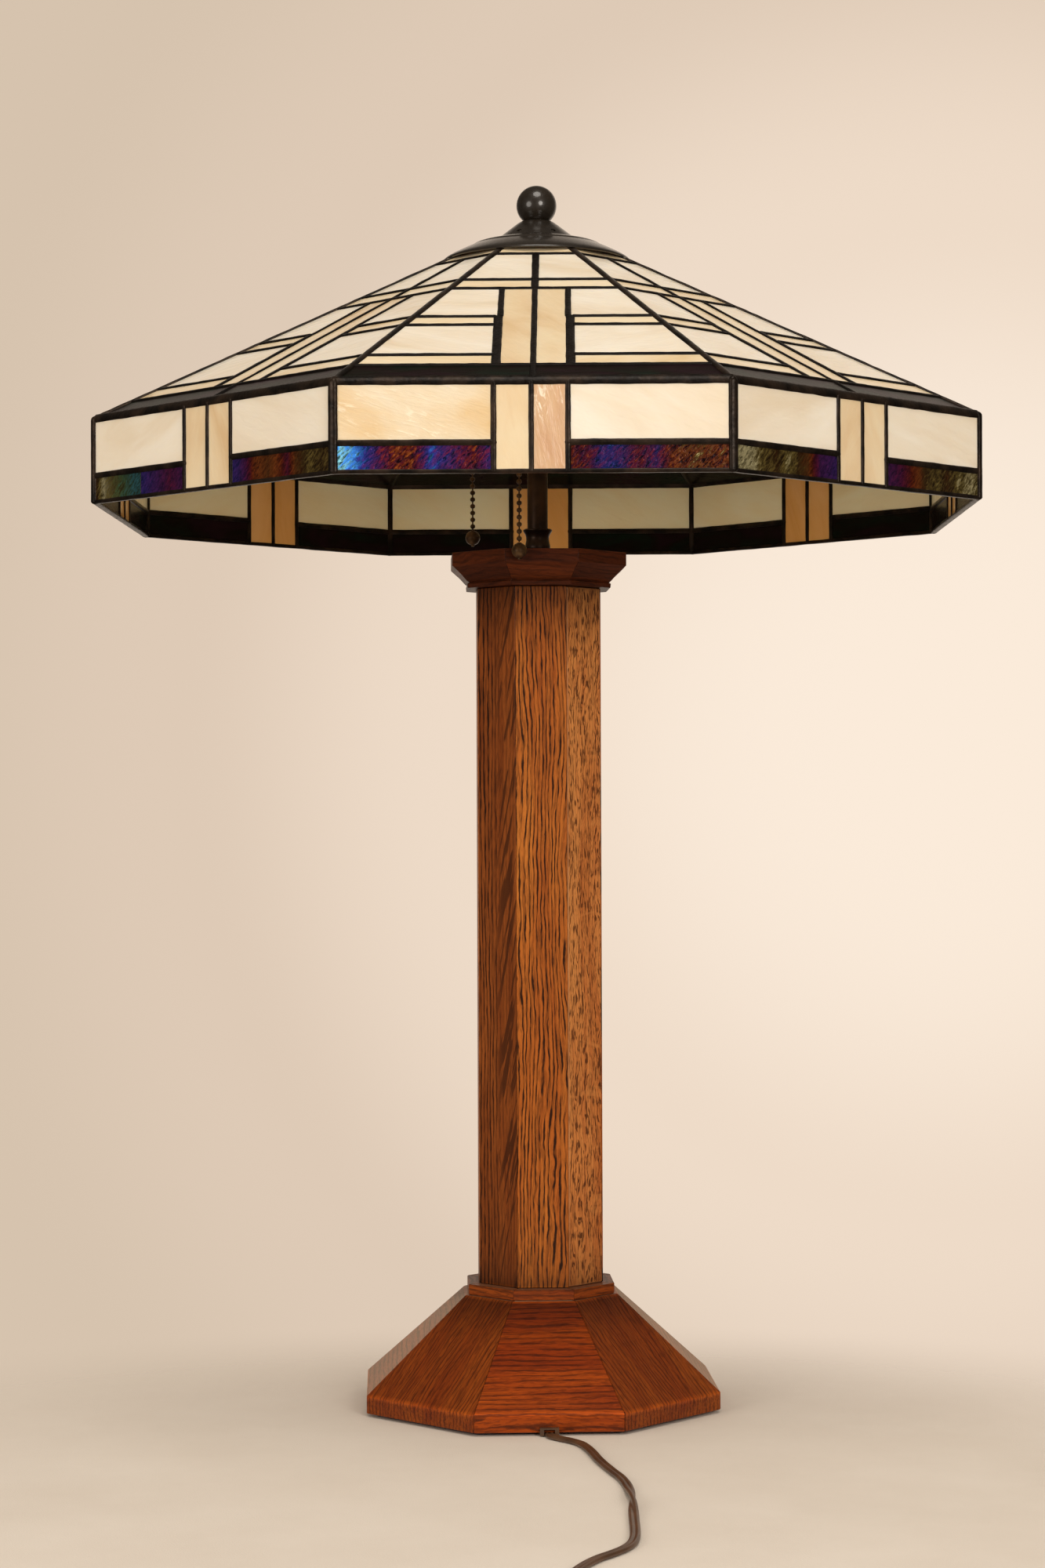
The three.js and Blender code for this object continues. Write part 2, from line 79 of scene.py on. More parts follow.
COLUMN_APOTHEM, STAVE_THICKNESS = 40.7, 12.7
BASE = {"apothem": 115.0, "top_apothem": 50.0, "band": 13.5, "board": 19.0}

CORD = {"width": 6.0, "thickness": 3.0, "lift": 0.1}


# ---------------------------------------------------------------- mesh making
class Builder:
    """Collects vertices (mm) and faces, with a material number per face and a vector per vertex.

    Faces added without vertices count back from the last one added, as -1, -2 and so on.
    """

    def __init__(self):
        self.verts, self.faces, self.kinds, self.notes = [], [], [], []

    def add(self, verts, faces, kind=0, notes=None):
        start = len(self.verts)
        self.verts += [tuple(v) for v in verts]
        self.faces += [tuple(start + i for i in face) for face in faces]
        self.kinds += [kind] * len(faces)
        self.notes += notes or [tuple(v) for v in verts]

    def object(self, name, materials, smooth=True):
        mesh = bpy.data.meshes.new(name)
        mesh.from_pydata([tuple(c * MM for c in v) for v in self.verts], [], self.faces)
        for material in materials:
            mesh.materials.append(material)
        mesh.polygons.foreach_set("material_index", self.kinds)
        mesh.polygons.foreach_set("use_smooth", [smooth] * len(self.faces))
        layer = mesh.attributes.new("grain", "FLOAT_VECTOR", "POINT")
        layer.data.foreach_set("vector", [c for note in self.notes for c in note])
        mesh.update()
        made = bpy.data.objects.new(name, mesh)
        bpy.context.collection.objects.link(made)
        return made


def piece(obj, body, slot, *nodes, sharp=None):
    """Puts a made object on its body, in place of the CAD nodes it stands for. Its slot is not used."""
    if sharp is not None:
        obj.data.set_sharp_from_angle(angle=math.radians(sharp))
    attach(obj, body)
    if nodes:
        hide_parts(*nodes)
    return obj


def ring_faces(rings, around, closed_path=False, start=0):
    """Quads between rings of points, in the order that faces outwards for a tube."""
    faces = []
    for i in range(rings if closed_path else rings - 1):
        a, b = start + i * around, start + (i + 1) % rings * around
        for j in range(around):
            k = (j + 1) % around
            faces.append((a + j, a + k, b + k, b + j))
    return faces


def sweep(builder, sections, kind=0, notes=None):
    """Skins a list of equal-length point loops and closes both ends."""
    around = len(sections[0])
    faces = ring_faces(len(sections), around)
    last = (len(sections) - 1) * around
    faces.append(tuple(reversed(range(around))))
    faces.append(tuple(range(last, last + around)))
    builder.add([p for section in sections for p in section], faces, kind, notes)


def smooth_profile(points, rounds=2):
    """Cuts the corners of an open [r, z] line, keeping its ends."""
    for _ in range(rounds):
        cut = [points[0]]
        for (r0, z0), (r1, z1) in zip(points, points[1:]):
            cut.append((r0 * 0.75 + r1 * 0.25, z0 * 0.75 + z1 * 0.25))
            cut.append((r0 * 0.25 + r1 * 0.75, z0 * 0.25 + z1 * 0.75))
        points = cut + [points[-1]]
    return points


def lathe(builder, profile, segments=64, place=Matrix(), kind=0, closed=False):
    """Turns an [r, z] profile about Z. Ends on the axis close to a point; a closed profile joins itself."""
    verts, index = [], []
    for r, z in profile:
        if r < 1e-6:
            index.append([len(verts)] * segments)
            verts.append(place @ Vector((0, 0, z)))
            continue
        index.append(list(range(len(verts), len(verts) + segments)))
        for j in range(segments):
            angle = 2 * math.pi * j / segments
            verts.append(place @ Vector((r * math.cos(angle), r * math.sin(angle), z)))
    faces = []
    pairs = list(zip(index, index[1:])) + ([(index[-1], index[0])] if closed else [])
    for a, b in pairs:
        for j in range(segments):
            k = (j + 1) % segments
            face = [a[j], a[k], b[k], b[j]]
            face = [v for n, v in enumerate(face) if v not in face[:n]]
            if len(face) > 2:
                faces.append(tuple(face))
    builder.add(verts, faces, kind)


def ball(builder, centre, radii, segments=12, rings=8, kind=0, turn=Matrix()):
    """An ellipsoid with the given radii, turned by a matrix."""
    profile = [(math.sin(math.pi * i / rings), -math.cos(math.pi * i / rings)) for i in range(rings + 1)]
    profile[0], profile[-1] = (0, -1), (0, 1)
    place = Matrix.Translation(centre) @ turn.to_4x4() @ Matrix.Diagonal((*radii, 1))
    lathe(builder, profile, segments, place, kind)


# ---------------------------------------------------------------- material making
def nodes_of(material):
    material.use_nodes = True
    tree = material.node_tree
    tree.nodes.clear()
    return tree


def node(tree, kind, inputs=(), **settings):
    """Adds a node. inputs maps socket names or numbers to values or to other sockets."""
    made = tree.nodes.new("ShaderNode" + kind)
    for key, value in settings.items():
        setattr(made, key, value)
    for key, value in dict(inputs).items():
        socket = made.inputs[key]
        if isinstance(value, bpy.types.NodeSocket):
            tree.links.new(value, socket)
        else:
            socket.default_value = value
    return made


def srgb(red, green, blue):
    """A linear colour from 0-255 display values."""
    def linear(c):
        c /= 255
        return c / 12.92 if c <= 0.04045 else ((c + 0.055) / 1.055) ** 2.4
    return (linear(red), linear(green), linear(blue), 1.0)


def ramp(tree, factor, stops, interpolation="LINEAR"):
    """A colour ramp from [(place, colour)]."""
    made = node(tree, "ValToRGB", {0: factor})
    made.color_ramp.interpolation = interpolation
    points = made.color_ramp.elements
    while len(points) < len(stops):
        points.new(0.5)
    for point, (place, colour) in zip(points, stops):
        point.position = place
        point.color = colour if len(colour) == 4 else (*colour, 1)
    return made.outputs[0]


def grey(value):
    return (value, value, value, 1)


def scaled(tree, vector, scale, offset=(0, 0, 0)):
    return node(tree, "Mapping", {"Vector": vector, "Scale": scale, "Location": offset}).outputs[0]


def noise_of(tree, vector, scale, detail=3.0, roughness=0.5, distortion=0.0, offset=(0, 0, 0)):
    """Noise between 0 and 1, with scale in cycles per millimetre along each axis."""
    place = scaled(tree, vector, scale, offset)
    made = node(tree, "TexNoise", {"Vector": place, "Scale": 1.0, "Detail": detail,
                                   "Roughness": roughness, "Distortion": distortion})
    return made.outputs["Fac"]


def blend(tree, factor, a, b, mode="MIX"):
    """Mixes two colours. The Mix node's colour sockets are its inputs 6 and 7 and its output 2."""
    made = node(tree, "Mix", {0: factor, 6: a, 7: b}, data_type="RGBA", blend_type=mode)
    return made.outputs[2]


def calc(tree, operation, *values):
    return node(tree, "Math", dict(enumerate(values)), operation=operation).outputs[0]


def ranged(tree, value, from_low, from_high, to_low=0.0, to_high=1.0):
    return node(tree, "MapRange", {"Value": value, "From Min": from_low, "From Max": from_high,
                                   "To Min": to_low, "To Max": to_high}).outputs[0]


def turned_vector(tree, vector, angle):
    return node(tree, "VectorRotate", {"Vector": vector, "Angle": angle}, rotation_type="Z_AXIS").outputs[0]


def grain_vector(tree):
    return node(tree, "Attribute", attribute_name="grain").outputs["Vector"]


def object_vector(tree):
    """Object coordinates in millimetres."""
    place = node(tree, "TexCoord").outputs["Object"]
    return scaled(tree, place, (1 / MM, 1 / MM, 1 / MM))


def surface(tree, colour, roughness, metallic=0.0, bump=None, depth=0.1, **constants):
    """The Principled shader and the output. bump is a height field and depth its height in millimetres."""
    inputs = {"Base Color": colour, "Roughness": roughness, "Metallic": metallic}
    if bump is not None:
        inputs["Normal"] = node(tree, "Bump", {"Height": bump, "Distance": depth * MM}).outputs[0]
    inputs.update({key.replace("_", " "): value for key, value in constants.items()})
    shader = node(tree, "BsdfPrincipled", inputs)
    node(tree, "OutputMaterial", {"Surface": shader.outputs[0]})


# Painted shade and wear on the wood by its height above the table, as (height, share of the wood's own
# colour): painted shade under the shade and the cap and in the gaps by the plinth, pale worn lines on the top
# edges of the base's band and the plinth.
SHADE_AND_WEAR_TOP = 560.0
SHADE_AND_WEAR = [
    (0, 0.92), (12.6, 0.94), (13.0, 1.7), (13.7, 1.7), (14.2, 1.0), (50, 0.98), (73.8, 0.42), (74.2, 1.1),
    (80.0, 1.1), (80.7, 1.35), (81.1, 0.45), (88, 0.62), (105, 0.84), (140, 0.98), (300, 1.0), (494, 1.0),
    (512, 0.8), (539, 0.42), (540, 0.85), (547, 0.85), (549, 1.0), (SHADE_AND_WEAR_TOP, 1.0),
]


def paint_shade_and_wear(tree, colour):
    """Paints shade and wear on the wood by its height above the table: painted shade under the cap and by the
    plinth, pale worn lines at two edges.
    """
    height = node(tree, "SeparateXYZ", {0: object_vector(tree)}).outputs[2]
    stops = [(z / SHADE_AND_WEAR_TOP, grey(share * 0.8)) for z, share in SHADE_AND_WEAR]
    tone = ramp(tree, calc(tree, "DIVIDE", height, SHADE_AND_WEAR_TOP), stops)
    return node(tree, "VectorMath", {0: colour, 1: tone}, operation="MULTIPLY").outputs[0]


def oak(name, tones, lines=0.85, ticks=0.2, cathedral=0.0, figure=0.0, spacing=2.7, sway=1.0, sheen=0.0):
    """Stained oak. The grain attribute is along, across and into the board, in millimetres.

    spacing is the distance between growth lines, sway how far they wander and sheen the dust on the finish.
    """
    material = bpy.data.materials.new(name)
    tree = nodes_of(material)
    board = grain_vector(tree)
    bend = ranged(tree, noise_of(tree, board, (0.006, 0.03, 0.03), 2), 0.2, 0.8, -9 * sway, 9 * sway)
    wobble = ranged(tree, noise_of(tree, board, (0.045, 0.14, 0.1), 2), 0.2, 0.8, -1.6 * sway, 1.6 * sway)
    drift = node(tree, "CombineXYZ", {1: calc(tree, "ADD", bend, wobble)}).outputs[0]
    grain = node(tree, "VectorMath", {0: board, 1: drift}, operation="ADD").outputs[0]
    dark, middle, light, red = tones
    patch = noise_of(tree, grain, (0.005, 0.045, 0.04), 3)
    band = noise_of(tree, grain, (0.012, 0.2, 0.15), 3, 0.55)
    colour = ramp(tree, patch, [(0.34, middle), (0.64, light)])
    colour = blend(tree, ranged(tree, band, 0.46, 0.68, 0, 0.5), colour, red)
    across = node(tree, "SeparateXYZ", {0: grain}).outputs[1]
    slow = calc(tree, "MULTIPLY", noise_of(tree, grain, (0.014, 0.09, 0.08), 2), 9.0 * sway)
    jog = calc(tree, "MULTIPLY", noise_of(tree, grain, (0.09, 0.5, 0.3), 3, 0.6, offset=(4, 2, 7)), 3.4)
    phase = calc(tree, "MULTIPLY_ADD", across, 2 * math.pi / spacing, calc(tree, "ADD", slow, jog))
    broken = noise_of(tree, grain, (0.06, 0.6, 0.4), 2, 0.5, offset=(1, 6, 3))
    line = ranged(tree, calc(tree, "SINE", phase), 0.1, 0.8)
    main = calc(tree, "MULTIPLY", line, ranged(tree, broken, 0.36, 0.52, 0.25, 1))
    fine = ranged(tree, noise_of(tree, grain, (0.05, 1.25, 0.9), 3, 0.6, offset=(3, 9, 2)), 0.5, 0.62, 0, 0.5)
    marks = calc(tree, "MULTIPLY", calc(tree, "MAXIMUM", main, fine), lines)
    if cathedral:
        slanted = turned_vector(tree, board, -0.24)
        flame = noise_of(tree, slanted, (0.02, 0.26, 0.1), 3, 0.5, 0.3, (2, 5, 1))
        side = ranged(tree, node(tree, "SeparateXYZ", {0: board}).outputs[1], -5, 5)
        dash = calc(tree, "MULTIPLY", ranged(tree, flame, 0.5, 0.555, 0, cathedral), side)
        marks = calc(tree, "MULTIPLY", marks, ranged(tree, side, 0, 1, 1, 0.45))
        marks = calc(tree, "MAXIMUM", marks, dash)
    colour = blend(tree, marks, colour, dark)
    pore = noise_of(tree, grain, (0.16, 1.15, 0.7), 1, 0.5, offset=(7, 3, 1))
    tick = ranged(tree, pore, 0.53, 0.6, 0, ticks)
    colour = blend(tree, tick, colour, dark)
    if figure:
        fleck = noise_of(tree, board, (0.1, 0.04, 0.1), 3, 0.55, 0.6, (3, 9, 4))
        colour = blend(tree, ranged(tree, fleck, 0.58, 0.68, 0, figure), colour, light)
    worn = calc(tree, "MAXIMUM", tick, calc(tree, "MULTIPLY", marks, 0.7))
    rough = ranged(tree, worn, 0, 1, 0.5, 0.65)
    # Painted shade: the wood darkens under the shade and the cap and in the gaps by the plinth.
    colour = paint_shade_and_wear(tree, colour)
    surface(tree, colour, rough, bump=calc(tree, "SUBTRACT", 1.0, worn), depth=0.12,
            Specular_IOR_Level=0.1, Coat_Weight=0.16, Coat_Roughness=0.19,
            Sheen_Weight=sheen, Sheen_Roughness=0.25, Sheen_Tint=(1.0, 0.78, 0.5, 1))
    return material


def opal_glass(name, tones, ripple=0.25, painted_glint=0.0):
    """Opalescent sheet glass: milky streaks that run one way in each pane, with pale painted glints on the
    ripple crests when asked for.
    """
    material = bpy.data.materials.new(name)
    tree = nodes_of(material)
    place = grain_vector(tree)
    cloud = noise_of(tree, place, (0.009, 0.024, 0.03), 4, 0.5, 1.0)
    wisp = noise_of(tree, place, (0.02, 0.11, 0.1), 4, 0.55, 0.8, (5, 2, 8))
    deep, body, pale = tones
    colour = ramp(tree, cloud, [(0.3, deep), (0.48, body), (0.68, pale)])
    colour = blend(tree, ranged(tree, wisp, 0.5, 0.78, 0, 0.35), colour, pale)
    colour = blend(tree, ranged(tree, wisp, 0.42, 0.2, 0, 0.35), colour, deep)
    wave = noise_of(tree, place, (0.09, 0.2, 0.2), 2, 0.5, 0.5)
    # Painted glints: pale highlights painted along the ripple crests.
    if painted_glint:
        crest = noise_of(tree, place, (0.045, 0.24, 0.2), 4, 0.66, 1.4, (9, 4, 6))
        patch = ranged(tree, noise_of(tree, place, (0.02, 0.02, 0.02), 2, offset=(1, 8, 2)), 0.4, 0.6)
        lit = calc(tree, "MULTIPLY", ranged(tree, crest, 0.56, 0.64, 0, painted_glint), patch)
        colour = blend(tree, lit, colour, srgb(255, 244, 222))
        wave = calc(tree, "ADD", wave, crest)
    surface(tree, colour, 0.14, bump=wave, depth=ripple, Specular_IOR_Level=0.4,
            Subsurface_Weight=0.2, Subsurface_Radius=(1.0, 0.8, 0.5), Subsurface_Scale=0.004)
    return material


FILM = [(0.0, (140, 220, 245)), (0.1, (58, 138, 235)), (0.2, (36, 46, 132)), (0.32, (56, 28, 84)),
        (0.44, (74, 16, 46)), (0.56, (84, 26, 12)), (0.66, (104, 52, 18)), (0.74, (58, 40, 16)),
        (0.8, (98, 84, 42)), (0.85, (160, 152, 116)), (0.9, (92, 80, 40)), (0.95, (60, 80, 50)),
        (1.0, (40, 78, 84))]


def film_glass(name, drift, contrast, gain):
    """Dark rolled glass under a metallic film.

    The grain attribute is across and up the pane in millimetres, and then the film's hue from 0 to 1.
    drift is how far the hue strays, contrast the depth of the flecks and gain the film's brightness.
    """
    material = bpy.data.materials.new(name)
    tree = nodes_of(material)
    place = grain_vector(tree)
    film = node(tree, "SeparateXYZ", {0: place}).outputs[2]
    flat = node(tree, "VectorMath", {0: place, 1: (1, 1, 0)}, operation="MULTIPLY").outputs[0]
    slanted = turned_vector(tree, flat, math.radians(-48))
    streak = noise_of(tree, slanted, (0.11, 0.34, 0.3), 4, 0.62, 0.8)
    fleck = noise_of(tree, slanted, (0.3, 0.8, 0.5), 3, 0.65, 0.6, (4, 8, 1))
    hue = calc(tree, "ADD", film, ranged(tree, streak, 0.25, 0.75, -drift, drift))
    hue = calc(tree, "ADD", hue, ranged(tree, fleck, 0.3, 0.7, -drift * 0.45, drift * 0.45))
    colour = ramp(tree, hue, [(place, srgb(*tone)) for place, tone in FILM])
    relief = calc(tree, "MULTIPLY_ADD", streak, 0.7, fleck)
    shade = ranged(tree, relief, 0.68, 1.06, gain * (1 - contrast), gain * (1 + contrast))
    colour = node(tree, "VectorMath", {0: colour, "Scale": shade}, operation="SCALE").outputs[0]
    surface(tree, colour, 0.24, 0.25, fleck, 0.5 * contrast, Specular_IOR_Level=0.15)
    return material


def black_glass():
    """The same glass where it has no film to show, near black with a hint of colour."""
    material = bpy.data.materials.new("black_glass")
    tree = nodes_of(material)
    place = grain_vector(tree)
    tint = noise_of(tree, place, (0.02, 0.05, 0.05), 3, 0.5, 0.8)
    colour = ramp(tree, tint, [(0.3, srgb(12, 24, 16)), (0.5, srgb(18, 12, 8)), (0.7, srgb(30, 12, 20))])
    wave = noise_of(tree, place, (0.1, 0.3, 0.2), 2)
    surface(tree, colour, 0.26, bump=wave, depth=0.12, Specular_IOR_Level=0.06)
    return material


def patina(name, dark, worn, roughness=0.42, metallic=0.75, lumps=0.12, scale=0.5, specular=0.5,
           lacquer=0.0):
    """Patinated metal, worn in patches and finely uneven. lacquer is the weight of its clear coat."""
    material = bpy.data.materials.new(name)
    tree = nodes_of(material)
    place = object_vector(tree)
    patch = noise_of(tree, place, (scale * 0.12,) * 3, 4, 0.6)
    fine = noise_of(tree, place, (scale,) * 3, 3, 0.6)
    colour = ramp(tree, patch, [(0.4, dark), (0.72, worn)])
    rough = ranged(tree, fine, 0.3, 0.7, roughness - 0.08, roughness + 0.12)
    surface(tree, colour, rough, metallic, fine, lumps, Specular_IOR_Level=specular,
            Coat_Weight=lacquer, Coat_Roughness=0.14)
    return material


OAK_COLUMN = (srgb(42, 19, 6), srgb(194, 103, 34), srgb(222, 132, 50), srgb(176, 82, 22))
# A darker copy of the column's oak: painted shade on the front-left and back-right staves.
OAK_PAINTED_SHADE = (srgb(38, 17, 6), srgb(142, 70, 22), srgb(166, 88, 32), srgb(122, 53, 13))
# A paler copy of the column's oak: painted light on the front-right and back-left staves.
OAK_PAINTED_LIGHT = (srgb(78, 38, 18), srgb(222, 132, 64), srgb(242, 158, 84), srgb(200, 104, 48))
OAK_BASE = (srgb(50, 17, 2), srgb(148, 54, 4), srgb(178, 76, 8), srgb(128, 41, 2))
OAK_RAIL = (srgb(50, 21, 5), srgb(138, 57, 10), srgb(162, 78, 17), srgb(118, 43, 5))
OAK_CAP = (srgb(24, 10, 4), srgb(82, 35, 12), srgb(114, 52, 20), srgb(64, 24, 7))
OAK_WORN = (srgb(120, 66, 34), srgb(206, 132, 76), srgb(222, 154, 98), srgb(186, 108, 58))

MAT = {
    "column_plain": oak("column_plain_oak", OAK_COLUMN, 0.98, 0.2, spacing=2.8, sway=0.6),
    "column_cathedral_in_painted_shade": oak("cathedral_oak_in_painted_shade", OAK_PAINTED_SHADE, 0.98, 0.15, 0.72, 0.0, 3.1, 0.35),
    "column_quartered_in_painted_light": oak("quartered_oak_in_painted_light", OAK_PAINTED_LIGHT, 0.4, 0.85, 0.0, 0.3, 2.2),
    "base": oak("base_oak", OAK_BASE, 0.72, 0.3, spacing=4.4, sway=0.4, sheen=0.6),
    "rail": oak("base_rail_oak", OAK_RAIL, 0.6, 0.35, spacing=3.2, sway=0.5, sheen=0.15),
    "cap": oak("cap_oak", OAK_CAP, 0.45, 0.2, spacing=4.0),
    "worn": oak("worn_oak", OAK_WORN, 0.3, 0.2),
    "cream": opal_glass("cream_glass", (srgb(228, 212, 186), srgb(236, 224, 204), srgb(241, 233, 218))),
    "rippled": opal_glass("rippled_cream_glass_painted_glint",
                          (srgb(226, 194, 144), srgb(232, 210, 174), srgb(237, 225, 202)), 0.4, 0.8),
    "strip": opal_glass("strip_glass", (srgb(222, 196, 152), srgb(232, 211, 174), srgb(238, 222, 192))),
    "honey": opal_glass("honey_glass", (srgb(218, 188, 146), srgb(228, 205, 168), srgb(234, 217, 184))),
    "pink": opal_glass("rippled_honey_glass_painted_glint",
                       (srgb(200, 156, 122), srgb(214, 178, 142), srgb(228, 202, 168)), 0.4, 0.85),
    # Inner faces painted lighter and warmer than the outer ones: painted glow of light coming through the
    # glass.
    "cream_painted_glow": opal_glass("cream_glass_painted_glow",
                               (srgb(249, 231, 186), srgb(253, 239, 200), srgb(255, 246, 214))),
    "honey_painted_glow": opal_glass("honey_glass_painted_glow",
                               (srgb(222, 160, 84), srgb(234, 177, 103), srgb(244, 193, 126))),
    "film": film_glass("film_glass", 0.17, 0.9, 1.14),
    "film_deep": film_glass("deep_film_glass", 0.17, 0.9, 0.78),
    "film_calm": film_glass("calm_film_glass", 0.035, 0.6, 0.74),
    "black": black_glass(),
    # The roof's lead is a darker, duller copy of the skirt's lead: painted shade.
    "roof_lead": patina("roof_lead_bead_painted_shade", srgb(13, 9, 7), srgb(27, 20, 15), 0.4, 0.2, 0.2, 0.55, 0.1),
    "lead": patina("lead_bead", srgb(20, 15, 11), srgb(56, 43, 33), 0.34, 0.45, 0.2, 0.55, 0.2),
    "bronze": patina("bronze_patina", srgb(30, 24, 17), srgb(42, 33, 23), 0.4, 0.2, 0.002, 0.5, 0.4, 0.8),
    # The stem's bronze is a lighter, browner copy of the cap's bronze: painted light.
    "stem": patina("stem_bronze_painted_light", srgb(44, 30, 22), srgb(74, 52, 36), 0.36, 0.6, 0.02, 0.5, 0.4),
    "pipe": patina("plated_pipe", srgb(110, 90, 56), srgb(140, 116, 72), 0.4, 0.9, 0.03, 1.2),
    "chain": patina("chain_brass", srgb(62, 44, 28), srgb(106, 78, 48), 0.36, 0.5, 0.03, 1.5, 0.3),
    "blade": patina("blade_brass", srgb(190, 158, 92), srgb(206, 176, 112), 0.28, 0.95, 0.01, 1.5),
    "iron": patina("cast_iron", srgb(40, 40, 42), srgb(60, 56, 52), 0.7, 0.6, 0.4, 0.6),
}


def plastic_material():
    material = bpy.data.materials.new("cord_plastic")
    tree = nodes_of(material)
    place = object_vector(tree)
    mottle = noise_of(tree, place, (0.06, 0.06, 0.06), 3)
    fine = noise_of(tree, place, (1.5, 1.5, 1.5), 2)
    colour = ramp(tree, mottle, [(0.3, srgb(66, 44, 28)), (0.7, srgb(92, 64, 42))])
    surface(tree, colour, ranged(tree, fine, 0.3, 0.7, 0.34, 0.46), bump=fine, depth=0.03)
    return material


def felt_material():
    material = bpy.data.materials.new("felt")
    tree = nodes_of(material)
    place = object_vector(tree)
    fluff = noise_of(tree, place, (1.2, 1.2, 1.2), 4, 0.7)
    colour = ramp(tree, fluff, [(0.3, srgb(20, 24, 36)), (0.7, srgb(38, 42, 56))])
    surface(tree, colour, 0.95, bump=fluff, depth=0.4, Sheen_Weight=0.3)
    return material


def bulb_material():
    material = bpy.data.materials.new("frosted_bulb")
    tree = nodes_of(material)
    fine = noise_of(tree, object_vector(tree), (1.5, 1.5, 1.5), 3)
    colour = ramp(tree, fine, [(0.3, srgb(232, 230, 222)), (0.7, srgb(242, 240, 234))])
    surface(tree, colour, 0.38, bump=fine, depth=0.02)
    return material


MAT["plastic"] = plastic_material()
MAT["felt"] = felt_material()
MAT["bulb"] = bulb_material()


# ---------------------------------------------------------------- camera
def make_camera():
    """The view: slightly below the middle of the lamp, two metres in front."""
    distance, height = 2031, 390
    orbit, look_left, look_up, roll = (math.radians(a) for a in (0.5, 0.3, 0.57, -0.2))
    data = bpy.data.cameras.new("camera")
    data.lens, data.sensor_width, data.sensor_fit = 70, 36, "AUTO"
    data.clip_start, data.clip_end = 0.05, 50
    camera = bpy.data.objects.new("camera", data)
    bpy.context.collection.objects.link(camera)
    camera.location = Vector((distance * math.sin(orbit), -distance * math.cos(orbit), height)) * MM
    heading = orbit + look_left
    forward = Vector((-math.sin(heading), math.cos(heading), math.tan(look_up)))
    camera.rotation_mode = "QUATERNION"
    level = forward.to_track_quat("-Z", "Y")
    camera.rotation_quaternion = level @ Matrix.Rotation(roll, 3, "Z").to_quaternion()
    bpy.context.scene.camera = camera


make_camera()


# ---------------------------------------------------------------- cord
# The lead's route over the table, from the bushing in the base to the coil, as in the CAD model.
CORD_ROUTE = [
    (6.5, -118.8), (8.6, -124.5), (13.4, -130.5), (20, -137.2), (26, -146), (30.4, -160),
    (33.6, -175), (36.4, -191), (40.4, -209), (45, -227), (49, -242), (51.6, -257),
    (53.2, -274), (53.9, -291), (54.2, -312), (54.3, -332), (54.3, -352), (54.3, -371),
    (53.8, -388), (51.8, -403), (47.4, -415), (41, -425.3), (34, -435), (28.2, -446),
    (23, -459), (18.6, -474), (14.4, -490), (10.4, -508), (7.2, -526), (5.3, -544),
    (4.7, -559.6),
]
COIL_CENTRE = Vector((45, -560, 0))
COIL_RADII = (40.3, 34.0, 27.7)
COIL_TAIL = 34
COIL_LIFT = 0.6  # the tie goes under the turns
TWIST_START, TWIST_END = -262, -345


def coil_points():
    """Three turns in, then three turns out on top of them, and a quarter turn to the tail."""
    levels = [COIL_LIFT + CORD["thickness"] * 0.5, COIL_LIFT + CORD["thickness"] * 1.55]
    turns = [(r, levels[0]) for r in COIL_RADII] + [(r, levels[1]) for r in reversed(COIL_RADII)]
    steps, ease = 24, 8
    points = []
    for number, (radius, z) in enumerate(turns):
        after = turns[min(number + 1, len(turns) - 1)]
        for step in range(steps):
            angle = math.pi + 2 * math.pi * step / steps
            mix = max(0.0, (step - (steps - ease)) / ease)
            mix = mix * mix * (3 - 2 * mix)
            r, h = radius + (after[0] - radius) * mix, z + (after[1] - z) * mix
            points.append(COIL_CENTRE + Vector((r * math.cos(angle), r * math.sin(angle), h)))
    for step in range(7):
        angle = math.pi + math.pi / 2 * step / 6
        spot = Vector((math.cos(angle), math.sin(angle), 0)) * COIL_RADII[0]
        points.append(COIL_CENTRE + spot + Vector((0, 0, levels[1])))
    plug_z = (low("plug_body").z + high("plug_body").z) / 2
    for share in (0.25, 0.5, 0.75, 1.0):
        rise = share * share * (3 - 2 * share) * (plug_z - levels[1])
        points.append(COIL_CENTRE + Vector((COIL_TAIL * share, -COIL_RADII[0], levels[1] + rise)))
    return points


def catmull(points, per_span):
    """A smooth line through the points."""
    line = []
    ends = [points[0] * 2 - points[1]] + points + [points[-1] * 2 - points[-2]]
    for p0, p1, p2, p3 in zip(ends, ends[1:], ends[2:], ends[3:]):
        for i in range(per_span):
            t = i / per_span
            line.append(0.5 * (2 * p1 + (p2 - p0) * t + (2 * p0 - 5 * p1 + 4 * p2 - p3) * t * t
                               + (3 * p1 - p0 - 3 * p2 + p3) * t ** 3))
    line.append(points[-1])
    return line


def cord_section(turn, side, up, centre):
    """Two insulated wires side by side, with a groove between them on both faces."""
    radius = CORD["thickness"] / 2
    points = []
    for lobe in (0, 1):
        for step in range(11):
            angle = math.radians(-138 + 27.6 * step) + math.pi * lobe
            x = (radius if lobe == 0 else -radius) + radius * math.cos(angle)
            y = radius * math.sin(angle)
            c, s = math.cos(turn), math.sin(turn)
            points.append(centre + side * (x * c - y * s) + up * (x * s + y * c))
    return points


